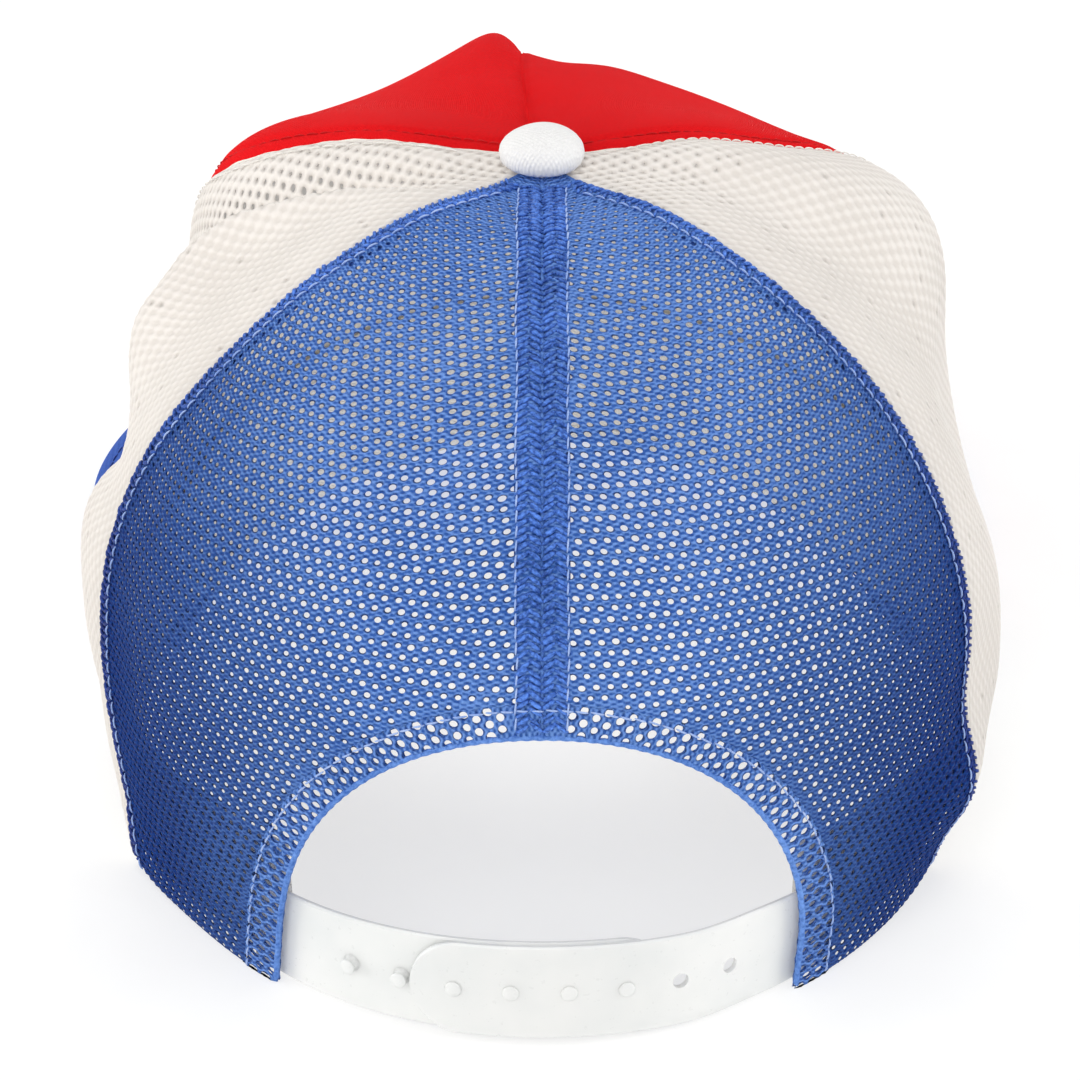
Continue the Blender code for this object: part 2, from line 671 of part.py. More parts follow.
def make_button(collection):
    """A turned profile: dome, rounded edge, flat underside and shank, top to bottom."""
    outline = []
    for k in range(0, 7):
        turn = math.radians(15.0 * k)
        outline.append((BUTTON_RADIUS * math.sin(turn),
                        BUTTON_HEIGHT * (0.28 + 0.72 * math.cos(turn))))
    outline.append((BUTTON_RADIUS * 0.985, BUTTON_HEIGHT * 0.12))
    outline.append((BUTTON_RADIUS * 0.93, 0.0))
    outline.append((SHANK_RADIUS, 0.0))
    outline.append((SHANK_RADIUS, -SHANK_LENGTH))
    outline.append((0.0, -SHANK_LENGTH))
    mesh = bpy.data.meshes.new("button")
    mesh.from_pydata([(r * MM, 0.0, z * MM) for r, z in outline],
                     [(i, i + 1) for i in range(len(outline) - 1)], [])
    button = add_object("button", mesh, collection, "cream_cloth")
    screw = button.modifiers.new("turn", "SCREW")
    screw.steps = 24
    screw.render_steps = 24
    screw.use_merge_vertices = True
    screw.merge_threshold = 0.00001
    seat = Vector((0.0, 0.0, CROWN_HEIGHT - TOP_DIP / 2 + FIT_GAP))
    button.location = rest(seat) * MM
    button.rotation_euler = (math.radians(REST_TILT - BUTTON_LEAN), 0.0, 0.0)


def bounds(things):
    graph = bpy.context.evaluated_depsgraph_get()
    lows = [math.inf] * 3
    highs = [-math.inf] * 3
    for thing in things:
        seen = thing.evaluated_get(graph)
        for vertex in seen.data.vertices:
            point = seen.matrix_world @ vertex.co
            for k in range(3):
                lows[k] = min(lows[k], point[k])
                highs[k] = max(highs[k], point[k])
    return lows, highs


def main():
    for old in list(bpy.data.objects):
        bpy.data.objects.remove(old, do_unlink=True)
    cap = bpy.data.collections.new("trucker_cap")
    cutters = bpy.data.collections.new("cutters")
    for collection in (cap, cutters):
        bpy.context.scene.collection.children.link(collection)

    arch, floor = make_cutters(cutters)
    make_panels(cap, arch, floor)
    make_facing(cap, floor)
    make_tape(cap)
    make_sweatband(cap)
    make_straps(cap, cutters)
    make_brim(cap)
    make_button(cap)

    # The origin is under the middle of the cap's box.
    bpy.context.view_layer.update()
    lows, highs = bounds(cap.objects)
    root = bpy.data.objects.new("root", None)
    cap.objects.link(root)
    for thing in list(cap.objects) + list(cutters.objects):
        if thing is not root:
            thing.parent = root
    root.location = (-(lows[0] + highs[0]) / 2, -(lows[1] + highs[1]) / 2, -lows[2])


main()
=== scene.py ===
"""The looks of the trucker cap: knitted net panels, foam front, snap strap, brim and stitching.

Sizes are in millimetres and angles in degrees, in the crown's own frame: the button is on the
vertical axis and the hem line of the back is at height 0, a little above the cloth's lower
edge. A crown angle runs about that axis from the centre of the back, positive towards the
wearer's left (+X). A share runs along the surface from 0 at the button to 1 at the hem line.
A depth is measured inwards from the outer surface.
place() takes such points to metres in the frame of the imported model.
"""
import math

import bmesh
import bpy
import numpy as np
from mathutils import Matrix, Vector


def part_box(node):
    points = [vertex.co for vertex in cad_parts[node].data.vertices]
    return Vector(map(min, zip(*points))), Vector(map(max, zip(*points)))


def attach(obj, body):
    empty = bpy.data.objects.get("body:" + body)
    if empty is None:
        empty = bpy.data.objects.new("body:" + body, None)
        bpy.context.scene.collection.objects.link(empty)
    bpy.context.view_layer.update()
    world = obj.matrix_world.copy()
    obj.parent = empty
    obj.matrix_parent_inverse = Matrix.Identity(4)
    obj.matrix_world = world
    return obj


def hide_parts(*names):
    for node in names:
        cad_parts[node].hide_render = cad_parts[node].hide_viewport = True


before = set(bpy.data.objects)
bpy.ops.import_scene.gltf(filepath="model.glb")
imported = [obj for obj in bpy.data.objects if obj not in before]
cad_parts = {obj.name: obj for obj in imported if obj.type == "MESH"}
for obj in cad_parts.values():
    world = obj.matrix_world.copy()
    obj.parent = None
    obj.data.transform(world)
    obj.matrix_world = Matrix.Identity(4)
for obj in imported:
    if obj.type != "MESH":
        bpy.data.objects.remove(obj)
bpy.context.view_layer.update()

MM = 0.001
rng = np.random.default_rng(7)

# Crown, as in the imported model
RIM_HALF_WIDTH = 84.0
RIM_HALF_LENGTH = 101.0
RIM_SQUARENESS = 1.96
CROWN_HEIGHT = 137.5
REST_TILT = 4.7
FRONT_HEM_RISE = 24.0
HEM_RISE_START = 50.0
FLOOR_DROP = 2.0
LEAST_HEIGHT = 0.02        # of every point, so that nothing sinks into the floor
HEM_SHARE = 1.0148
CLOTH_END = HEM_SHARE - 0.0042     # share where the net ends
CROWN_HOLE_SHARE = 0.023
TOP_DIP = 3.4
TOP_DIP_RISE = 12.0
TOP_DIP_FADE = (9.0, 35.0)
FOAM_THICKNESS = 3.5
FOAM_SEAM_THICKNESS = 1.3
FOAM_TAPER = 9.0
FOAM_STITCH = 3.1          # from the side seam to the row of stitches
SEAM_GAP = 0.44
GROOVE_START = 20.0
LEAST_RADIUS = 4.0         # taken as the radius right beside the button
CROWN_MIDDLE = (0.0, 0.0, 45.0)     # a point inside the crown

# Section of the crown at each crown angle, the same on both sides
SECTIONS = [
    # crown angle, widest radius over hem radius, height of the widest point, fullness
    (0.0, 1.020, 0.42, 2.00),
    (32.0, 1.040, 0.42, 2.00),
    (64.0, 1.070, 0.31, 2.05),
    (88.0, 1.085, 0.17, 2.25),
    (108.0, 1.055, 0.11, 3.90),
    (135.0, 1.012, 0.12, 3.90),
    (160.0, 1.000, 0.12, 3.90),
    (180.0, 1.000, 0.12, 4.20),
]

# Dents (negative) and bulges of the worn cap
RELIEFS = np.array([
    # crown angle, share, half width in angle, half width in share, height
    (175.0, 0.49, 6.0, 0.11, 5.0),
    (170.0, 0.38, 11.0, 0.145, 3.5),
    (-179.0, 0.45, 6.5, 0.09, -5.0),
    (146.0, 0.35, 17.0, 0.165, -3.0),
    (-144.0, 0.36, 23.0, 0.14, -5.0),
    (103.0, 0.58, 10.0, 0.17, -14.0),
    (94.0, 0.51, 8.5, 0.07, 6.5),
    (64.0, 0.42, 8.0, 0.14, -1.5),
    (99.0, 0.62, 13.0, 0.05, -8.0),
    (90.0, 0.70, 15.0, 0.075, 3.0),
    (112.0, 0.71, 14.0, 0.18, -9.0),
    (66.0, 0.76, 9.0, 0.14, -2.0),
    (83.0, 0.88, 9.0, 0.05, -3.0),
    (64.0, 1.00, 11.0, 0.045, 2.5),
    (-113.0, 0.50, 13.0, 0.09, 3.0),
    (-117.0, 0.30, 13.0, 0.13, -3.5),
    (-96.0, 0.63, 13.0, 0.13, -7.5),
    (-85.0, 0.71, 15.0, 0.11, 1.5),
    (-68.0, 0.80, 7.0, 0.055, -2.0),
    (-62.0, 0.90, 10.0, 0.05, 4.0),
])

# Seams between the panels
SEAMS = {
    # name: crown angles at the button, at every sixth of the way, and at the hem
    "rear": (0.0, 0.0, 0.0, 0.0, 0.0, 0.0, 0.0),
    "rear_left": (44.0, 52.0, 60.0, 67.0, 71.0, 70.5, 64.0),
    "rear_right": (-43.0, -51.0, -57.0, -61.0, -63.0, -63.5, -62.0),
    "front_left": (121.0, 110.5, 109.3, 120.5, 122.0, 122.0, 121.0),
    "front_right": (-116.0, -118.0, -121.0, -124.0, -126.0, -125.5, -122.0),
    "front": (171.0, 174.0, 176.0, 177.5, 178.5, 179.3, 180.0),
    "front_again": (-189.0, -186.0, -184.0, -182.5, -181.5, -180.7, -180.0),
}
SEAM_GROOVES = {
    # name: (depth, half width)
    "front": (1.4, 3.5),
    "front_left": (0.7, 3.0),
    "front_right": (0.7, 3.0),
}

# The sharp edge of the fold in the left side panel, from near the button outwards
CREASE = [
    # crown angle, share
    (40.0, 0.03), (66.0, 0.13), (87.0, 0.21), (93.0, 0.31), (97.5, 0.41), (101.0, 0.52),
]
CREASE_SCALE = 165.0       # length of the crown from button to hem, near enough
CREASE_DEPTH = 3.4
CREASE_WIDTH = 8.0
CREASE_EDGE = 1.8          # width of its sharp edge
CREASE_LIP = 1.0
CREASE_LIP_WIDTH = 4.5
CREASE_FADE = (45.0, 10.0)     # lengths over which it grows and dies away

# Opening at the back, tape, straps, sweatband, brim and button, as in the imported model
ARCH_HALF_WIDTH = 49.0
ARCH_SPRING = 10.0
ARCH_RISE = 53.0
ARCH_FULLNESS = 2.1
ARCH_LEAN = 1.2
ARCH_LEAN_HEIGHT = 25.0
FACING_WIDTH = 6.5
FACING_DEPTH = 1.55
TAPE_HALF_WIDTH = 4.8
TAPE_START = 10.5
STRAP_WIDTH = 19.9
STRAP_BOTTOM = -0.6
STRAP_DROOP = 1.1
STRAP_THICKNESS = 1.2
STRAP_TAB = 64.0
STRAP_INNER_DEPTH = 2.8
STRAP_OUTER_DEPTH = 1.2
SNAP_PITCH = 10.8
SNAP_OFFSET = 5.8
PEG_RADIUS = 1.25
HOLE_RADIUS = 1.6
HOLE_STRETCHED = 1.32      # a hole that grips a peg
PEG_PROUD = 0.4
SNAP_EDGE = 8.8
STRAP_STEP = 1.5
STRAP_SETTLE = 3.0
SWEATBAND_TOP = 27.5
SWEATBAND_BOTTOM = -1.3
SWEATBAND_THICKNESS = 1.2
SWEATBAND_END = 31.0
SWEATBAND_DEPTHS = [
    (0.0, 4.4), (43.0, 4.4), (60.0, 2.7), (102.0, 2.7), (117.0, 4.3), (180.0, 4.3),
]
BRIM_THICKNESS = 3.2
BRIM_CORNER = 112.0
BRIM_INSET = 3.2
BRIM_HALF_WIDTH = 96.5
BRIM_SHIFT = 2.5
BRIM_WIDEST_Y = -108.0
BRIM_LENGTH = 66.0
BRIM_FULLNESS = 2.15
BRIM_FRONT_RISE = 16.0
BRIM_WIDEST_AT = 0.68
BRIM_CORNER_WIDTH = 5.0
BRIM_CORNER_SETBACK = 2.0
BRIM_CORNER_DROP = 1.0
BRIM_SWEEP = 0.35
BRIM_CROWNING = 1.6
BRIM_ROUNDING = 1.6
BRIM_SIDE_TOP = 2.956
BRIM_ROWS = [4.5, 10.5, 16.5, 22.5, 28.5, 34.5]     # rows of stitches, from the outer edge
BUTTON_RADIUS = 8.2
BUTTON_HEIGHT = 5.9
BUTTON_LEAN = 9.5
FIT_GAP = 0.3

# Knit of the nets
NET_PITCH = 2.5            # between holes along a row
NET_ROW = 2.0              # between rows, each set off by half a pitch
NET_HOLE = (0.62, 0.52)    # half width and half height of a hole
NET_THICKNESS = 0.72
HEM_PITCH = 2.35           # along the hem of the opening
HEM_START = 0.5            # from the end of the opening's edge to its hem
NET_REACH = 0.95           # how far outside the border a cell's middle may lie
NET_BORDER = 0.8           # width along the border in which no cell has a hole
NET_FOLD = 1.1             # width over which the net thins to its folded border
SHUT_BELOW = 0.3           # size, of the full one, under which a hole is drawn shut
BLUE_PIT = 0.50            # depth of the pit in place of a hole that is shut
CREAM_PIT = 0.26
CLOSED_BY_SEAM = {"rear": 4.8, "rear_left": 5.0, "rear_right": 5.0}    # doubled cloth, no holes
# Corners round a cell, in quarters of the pitch and sixths of a row
NET_RING = np.array([(2, 0), (2, 2), (1, 3), (0, 4), (-1, 3), (-2, 2),
                     (-2, 0), (-2, -2), (-1, -3), (0, -4), (1, -3), (2, -2)])

brim_low, brim_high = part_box("brim")
ORIGIN = np.array([(brim_low.x + brim_high.x) / 2 - BRIM_SHIFT * MM,
                   brim_low.y - (BRIM_WIDEST_Y - BRIM_LENGTH) * MM, FLOOR_DROP * MM])


# Crown

def smoothstep(value):
    t = np.clip(value, 0.0, 1.0)
    return t * t * (3.0 - 2.0 * t)


def signed(angle):
    return (angle + 180.0) % 360.0 - 180.0


def hermite(t, value0, slope0, value1, slope1):
    return ((2 * t**3 - 3 * t**2 + 1) * value0 + (t**3 - 2 * t**2 + t) * slope0
            + (3 * t**2 - 2 * t**3) * value1 + (t**3 - t**2) * slope1)


def section_value(angle, column):
    """A column of SECTIONS at a crown angle, through a smooth curve over its rows."""
    a = abs(signed(angle))
    stops = [row[0] for row in SECTIONS]
    values = [row[column] for row in SECTIONS]
    stops = [-stops[1]] + stops + [360.0 - stops[-2]]
    values = [values[1]] + values + [values[-2]]
    for i in range(1, len(stops) - 2):
        if a <= stops[i + 1] + 1e-9:
            break
    span = stops[i + 1] - stops[i]
    t = (a - stops[i]) / span
    slope0 = (values[i + 1] - values[i - 1]) / (stops[i + 1] - stops[i - 1]) * span
    slope1 = (values[i + 2] - values[i]) / (stops[i + 2] - stops[i]) * span
    return hermite(t, values[i], slope0, values[i + 1], slope1)


def rim_radius(angle):
    s = abs(math.sin(math.radians(angle))) / RIM_HALF_WIDTH
    c = abs(math.cos(math.radians(angle))) / RIM_HALF_LENGTH
    return (s**RIM_SQUARENESS + c**RIM_SQUARENESS) ** (-1.0 / RIM_SQUARENESS)


def hem_height(angle):
    back = RIM_HALF_LENGTH - rim_radius(angle) * math.cos(math.radians(angle))
    lift = (abs(signed(angle)) - HEM_RISE_START) / (180.0 - HEM_RISE_START)
    return back * math.tan(math.radians(REST_TILT)) + FRONT_HEM_RISE * smoothstep(lift)


SHARE_STEP = 0.0025
SHARES = np.arange(0.0, 1.0226, SHARE_STEP)


def crown_table():
    """Radius, height and outward normal of the plain crown for each whole crown angle and
    each of SHARES, and the length from button to hem."""
    dome_steps, drop_steps = 240, 50
    turns = np.pi / 2 * (0.5 - 0.5 * np.cos(np.pi * np.arange(dome_steps + 1) / dome_steps))
    drop = np.arange(1, 81) / drop_steps
    table = np.zeros((181, len(SHARES), 4))
    whole = np.zeros(181)
    for angle in range(181):
        hem_radius = rim_radius(angle)
        hem = hem_height(angle)
        widest = hem_radius * section_value(angle, 1)
        middle = hem + (CROWN_HEIGHT - hem) * section_value(angle, 2)
        power = 2.0 / section_value(angle, 3)
        r = np.concatenate([widest * np.sin(turns) ** power,
                            widest - (widest - hem_radius) * drop * drop])
        z = np.concatenate([middle + (CROWN_HEIGHT - middle)
                            * np.maximum(0.0, np.cos(turns)) ** power,
                            middle - (middle - hem) * drop])
        run = np.concatenate([[0.0], np.cumsum(np.hypot(np.diff(r), np.diff(z)))])
        whole[angle] = run[dome_steps + drop_steps]
        at = SHARES * whole[angle]
        r, z = np.interp(at, run, r), np.interp(at, run, z)
        dr, dz = np.gradient(r), np.gradient(z)
        dr[0], dz[0] = 1.0, 0.0
        long = np.hypot(dr, dz)
        table[angle] = np.stack([r, z, -dz / long, dr / long], axis=-1)
    return table, whole


TABLE, WHOLE = crown_table()


def crown_length(angle):
    """Length along the surface from the button to the hem."""
    return np.interp(np.abs(signed(np.asarray(angle, float))), np.arange(181), WHOLE)


def seam_angle(name, share):
    """The crown angle of a seam at a share, on a smooth curve through its angles."""
    stops = np.array(SEAMS[name])
    at = np.clip(share, 0.0, 1.0) * (len(stops) - 1)
    i = np.minimum(at.astype(int), len(stops) - 2)
    before, after = np.maximum(0, i - 1), np.minimum(len(stops) - 1, i + 2)
    slope0 = (stops[i + 1] - stops[before]) / (i + 1 - before)
    slope1 = (stops[after] - stops[i]) / (after - i)
    return hermite(at - i, stops[i], slope0, stops[i + 1], slope1)


def from_crease(angle, share):
    """Distance before the fold's line (negative behind it), the length along it and its whole
    length."""
    def flat(a, s):
        return CREASE_SCALE * np.stack([s * np.sin(np.radians(a)), s * np.cos(np.radians(a))],
                                       axis=-1)

    here = flat(angle, share)
    line = flat(*np.array(CREASE).T)
    near = np.full(np.shape(angle), np.inf)
    ahead, along = np.zeros_like(near), np.zeros_like(near)
    run = 0.0
    for start, end in zip(line, line[1:]):
        step = end - start
        long = np.hypot(*step)
        t = np.clip((here - start) @ step / long**2, 0.0, 1.0)
        gap = here - start - t[..., None] * step
        far = np.hypot(gap[..., 0], gap[..., 1])
        closer = far < near
        near = np.where(closer, far, near)
        side = gap[..., 0] * step[1] - gap[..., 1] * step[0]
        ahead = np.where(closer, np.where(side > 0, far, -far), ahead)
        along = np.where(closer, run + t * long, along)
        run += long
    return ahead, along, run


def crease(angle, share):
    """Height of the sharp fold in the left side panel: a lip behind its line and a hollow
    before it."""
    ahead, along, run = from_crease(angle, share)
    strength = smoothstep(along / CREASE_FADE[0]) * smoothstep((run - along) / CREASE_FADE[1])
    lip = CREASE_LIP * np.exp(-(ahead / CREASE_LIP_WIDTH) ** 2)
    hollow = -CREASE_DEPTH * np.exp(-(ahead / CREASE_WIDTH) ** 2)
    before = smoothstep(ahead / CREASE_EDGE + 0.5)
    return strength * (lip + (hollow - lip) * before)


def relief(angle, share, radius):
    behind = 1.0 + np.cos(np.radians(angle)) * smoothstep(radius / TOP_DIP_RISE)
    near, far = TOP_DIP_FADE
    height = -TOP_DIP / 2 * behind * (1.0 - smoothstep((radius - near) / (far - near)))
    height = height + crease(angle, share)
    for at_angle, at_share, wide, tall, amount in RELIEFS:
        a = signed(angle - at_angle) / wide
        s = (share - at_share) / tall
        height += amount * np.exp(-a * a - s * s)
    for name, (deep, half) in SEAM_GROOVES.items():
        away = np.radians(signed(angle - seam_angle(name, share))) * radius / half
        height -= deep * np.exp(-away * away) * smoothstep(radius / GROOVE_START)
    return height


def crown(angle, share, depth=0.0):
    """Points of the crown's surface, or inside it, in the crown's frame."""
    angle, share, depth = np.broadcast_arrays(*(np.asarray(v, float)
                                                for v in (angle, share, depth)))
    away = np.abs(signed(angle))
    i = np.minimum(away.astype(int), 179)
    f = (away - i)[..., None]
    s = np.maximum(share, 0.0) / SHARE_STEP
    j = np.minimum(s.astype(int), len(SHARES) - 2)
    g = (s - j)[..., None]
    low = TABLE[i, j] * (1 - g) + TABLE[i, j + 1] * g
    high = TABLE[i + 1, j] * (1 - g) + TABLE[i + 1, j + 1] * g
    row = low * (1 - f) + high * f
    r, z = row[..., 0], row[..., 1]
    out = relief(angle, share, r) - depth
    r = r + out * row[..., 2]
    z = z + out * row[..., 3]
    a = np.radians(angle)
    return np.stack([r * np.sin(a), r * np.cos(a), z], axis=-1)


def radius_at(angle, share):
    return np.maximum(LEAST_RADIUS, np.linalg.norm(crown(angle, share)[..., :2], axis=-1))


def beside(seam, share, away):
    """The crown angle at a distance from a seam."""
    centre = seam_angle(seam, share)
    return centre + away / np.radians(radius_at(centre, share))


def share_above_hem(angle, height):
    return 1.0 - height / crown_length(angle)


def place(points):
    """Crown frame in millimetres to the model's frame in metres."""
    points = np.asarray(points, float)
    tilt = math.radians(REST_TILT)
    y = points[..., 1] - RIM_HALF_LENGTH
    z = points[..., 2]
    tilted = np.stack([points[..., 0],
                       RIM_HALF_LENGTH + y * math.cos(tilt) - z * math.sin(tilt),
                       y * math.sin(tilt) + z * math.cos(tilt)], axis=-1)
    return tilted * MM + ORIGIN


def outward(angle, share):
    """Unit normals of the crown's surface, in the model's frame."""
    side = place(crown(angle + 0.4, share)) - place(crown(angle - 0.4, share))
    up = place(crown(angle, share - 0.004)) - place(crown(angle, share + 0.004))
    normal = np.cross(up, side)
    normal /= np.linalg.norm(normal, axis=-1, keepdims=True)
    away = np.sum((place(crown(angle, share)) - place(CROWN_MIDDLE)) * normal, axis=-1,
                  keepdims=True)
    return normal * np.where(away < 0, -1.0, 1.0)


def looks_in(a, b, c):
    """Whether faces that begin with these corners look into the crown."""
    return np.sum(np.cross(b - a, c - a) * (a - place(CROWN_MIDDLE))) < 0


def run_along(points):
    """The length from the first of some points to each of them."""
    return np.concatenate([[0.0], np.cumsum(np.linalg.norm(np.diff(points, axis=0), axis=1))])


ARC_ANGLES = np.arange(-85.0, 85.01, 0.5)
ARCS = run_along(crown(ARC_ANGLES, 1.0)[:, :2])
ARCS -= np.interp(0.0, ARC_ANGLES, ARCS)


def angle_at_arc(arc):
    """The crown angle at a length along the hem from the centre of the back."""
    return np.interp(arc, ARCS, ARC_ANGLES)


def surface_at(x, z):
    """The crown angles and shares of the rear surface points with these x and heights."""
    x, z = np.asarray(x, float), np.asarray(z, float)
    angle = np.degrees(np.arcsin(np.clip(x / 95.0, -0.8, 0.8)))
    share = share_above_hem(angle, z)
    for _ in range(12):
        here = crown(angle, share)
        side = crown(angle + 0.5, share) - here
        down = crown(angle, share + 0.005) - here
        dx, dz = x - here[..., 0], z - here[..., 2]
        area = side[..., 0] * down[..., 2] - side[..., 2] * down[..., 0]
        angle = angle + 0.5 * (dx * down[..., 2] - dz * down[..., 0]) / area
        share = share + 0.005 * (side[..., 0] * dz - side[..., 2] * dx) / area
    return angle, share


# Opening at the back

def arch_curve():
    """The opening's outline as a dense line (x, height) from its left foot to its right,
    with the length run and the direction away from the opening at each point."""
    foot_steps = 12
    turns = np.radians(np.linspace(-90.0, 90.0, 241))
    x = -np.sign(turns) * ARCH_HALF_WIDTH * np.abs(np.sin(turns)) ** (2.0 / ARCH_FULLNESS)
    z = ARCH_SPRING + ARCH_RISE * np.maximum(0.0, np.cos(turns)) ** (2.0 / ARCH_FULLNESS)
    feet = np.linspace(-2.0 - FLOOR_DROP, ARCH_SPRING - 0.4, foot_steps)
    side = np.full(foot_steps, ARCH_HALF_WIDTH)
    x = np.concatenate([side, x, -side])
    z = np.concatenate([feet, z, feet[::-1]])
    lean = (ARCH_LEAN_HEIGHT - z) / ARCH_LEAN_HEIGHT
    line = np.stack([x + ARCH_LEAN * lean * smoothstep(lean), z], axis=-1)
    run = run_along(line)
    even = np.linspace(0.0, run[-1], 360)
    line = np.stack([np.interp(even, run, line[:, k]) for k in (0, 1)], axis=-1)
    along = np.gradient(line, axis=0)
    away = np.stack([-along[:, 1], along[:, 0]], axis=-1)
    away /= np.linalg.norm(away, axis=1, keepdims=True)
    if np.sum(away * (line - np.array([0.0, 20.0]))) < 0:
        away = -away
    return line, even, away


ARCH_LINE, ARCH_RUN, ARCH_AWAY = arch_curve()


def from_arch(x, z):
    """Distance outwards from the opening's edge (negative inside it), and the run there."""
    flat = np.stack([x, z], axis=-1).reshape(-1, 2)
    away = np.empty(len(flat))
    run = np.empty(len(flat))
    for start in range(0, len(flat), 4000):
        rows = slice(start, start + 4000)
        part = flat[rows]
        gap = part[:, None, :] - ARCH_LINE[None]
        nearest = np.argmin(np.sum(gap * gap, axis=2), axis=1)
        step = gap[np.arange(len(part)), nearest]
        away[rows] = np.sum(step * ARCH_AWAY[nearest], axis=1)
        run[rows] = ARCH_RUN[nearest]
    return away.reshape(np.shape(x)), run.reshape(np.shape(x))


def arch_surface(run, away):
    """Crown angle and share at a run along the opening's edge and a distance from it."""
    x, z = (np.interp(run, ARCH_RUN, ARCH_LINE[:, k])
            + away * np.interp(run, ARCH_RUN, ARCH_AWAY[:, k]) for k in (0, 1))
    return surface_at(x, z)


# Materials

def fill(node, values):
    for name, value in values.items():
        node.inputs[name].default_value = value


class Look:
    """A material in the making. Its nodes are placed by the object's own coordinates."""

    def __init__(self, name):
        self.made = bpy.data.materials.new(name)
        self.made.use_nodes = True
        self.nodes = self.made.node_tree.nodes
        self.shader = self.nodes["Principled BSDF"]
        self.place = self.node("TexCoord").outputs["Object"]

    def link(self, value, socket):
        self.made.node_tree.links.new(value, socket)

    def node(self, kind, *values, **settings):
        """A shader node with its settings, and with the values on its first sockets."""
        node = self.nodes.new("ShaderNode" + kind)
        for name, setting in settings.items():
            setattr(node, name, setting)
        for socket, value in zip(node.inputs, values):
            if isinstance(value, bpy.types.NodeSocket):
                self.link(value, socket)
            else:
                socket.default_value = value
        return node

    def math(self, operation, *values):
        return self.node("Math", *values, operation=operation).outputs[0]

    def mixed(self, a, share_a, b, share_b):
        """The sum of two values, each times its share."""
        return self.math("ADD", self.math("MULTIPLY", a, share_a),
                         self.math("MULTIPLY", b, share_b))

    def noise(self, scale, detail):
        node = self.node("TexNoise", self.place)
        fill(node, {"Scale": scale, "Detail": detail, "Roughness": 0.55})
        return node.outputs["Fac"]

    def ramp(self, value, low, high, start=0.3, end=0.7):
        """A colour or grey that goes from low to high as the value goes from start to end."""
        node = self.node("ValToRGB", value)
        for element, at, colour in zip(node.color_ramp.elements, (start, end), (low, high)):
            element.position = at
            element.color = (*(colour if isinstance(colour, tuple) else (colour,) * 3), 1.0)
        return node.outputs["Color"]

    def bump(self, height, strength, distance):
        node = self.node("Bump")
        fill(node, {"Strength": strength, "Distance": distance})
        self.link(height, node.inputs["Height"])
        self.link(node.outputs[0], self.shader.inputs["Normal"])

    def weave(self, across, along, twill=0.0):
        """Height of a weave with so many threads across and along one unit of the UV map."""
        split = self.node("SeparateXYZ", self.node("UVMap").outputs[0])
        x = self.math("MULTIPLY", split.outputs[0], across * 2 * math.pi)
        y = self.math("MULTIPLY", split.outputs[1], along * 2 * math.pi)
        if twill:
            x = self.math("ADD", x, self.math("MULTIPLY", y, twill))
        return self.math("MULTIPLY", self.math("SINE", x), self.math("SINE", y))

    def with_painted_side_shade(self, colour, tint, near, far, top):
        """Painted shade: a colour that goes to its product with a tint from near to far off the
        middle of the cap, sooner below the height top, so the sides and lower part are darker."""
        split = self.node("SeparateXYZ", self.place)
        aside = self.math("ABSOLUTE", split.outputs[0])
        lift = self.math("SUBTRACT", top, split.outputs[2])
        aside = self.math("ADD", aside, self.math("MULTIPLY", lift, 0.25))
        tints = self.ramp(aside, (1.0, 1.0, 1.0), tint, near, far)
        return self.node("VectorMath", colour, tints, operation="MULTIPLY").outputs[0]


def fabric(name, deep, pale, roughness, weave=None, weave_bump=0.25, grain=900.0,
           grain_bump=0.15, broad=14.0, sheen=0.2, translucent=0.0, specular=0.3,
           weave_painted_shade=0.0, grain_share=0.4, shade=None):
    """Cloth with colour that drifts over its width, a thread weave and fine fibre grain.
    grain and broad are the scales of the fibres and of the drift."""
    look = Look(name)
    drift = look.noise(broad, 4.0)
    fibre = look.noise(grain, 2.0)
    value = look.mixed(drift, 1.0 - grain_share, fibre, grain_share)
    height = look.math("MULTIPLY", fibre, grain_bump)
    if weave:
        threads = look.weave(*weave)
        height = look.math("ADD", height, look.math("MULTIPLY", threads, weave_bump))
        # Painted shade and highlight: darker in the hollows of the weave, lighter on its raised
        # threads
        if weave_painted_shade:
            value = look.math("ADD", value, look.math("MULTIPLY", threads, weave_painted_shade))
    colour = look.ramp(value, deep, pale, 0.35, 0.65)
    # Painted shade: the cloth is darker towards the sides of the cap and low down
    if shade:
        colour = look.with_painted_side_shade(colour, *shade)
    look.link(colour, look.shader.inputs["Base Color"])
    rough = look.ramp(fibre, roughness - 0.08, min(1.0, roughness + 0.08))
    look.link(rough, look.shader.inputs["Roughness"])
    fill(look.shader, {"Sheen Weight": sheen, "Sheen Roughness": 0.5,
                       "Specular IOR Level": specular})
    look.bump(height, 0.6, 0.0004)
    if translucent:
        through = look.node("BsdfTranslucent", colour)
        mix = look.node("MixShader", translucent, look.shader.outputs[0], through.outputs[0])
        look.link(mix.outputs[0], look.nodes["Material Output"].inputs["Surface"])
    return look.made


# The blue nets' weave carries painted shade in its hollows and painted highlights on its raised
# threads
def blue_net(name, shade):
    return fabric(name, (0.045, 0.150, 0.54), (0.235, 0.455, 0.98), 0.62, (1.0, 4.0),
                  1.5, grain=1300.0, grain_bump=1.2, broad=22.0, sheen=0.04, specular=0.12,
                  translucent=0.28, weave_painted_shade=0.22, grain_share=0.6, shade=shade)
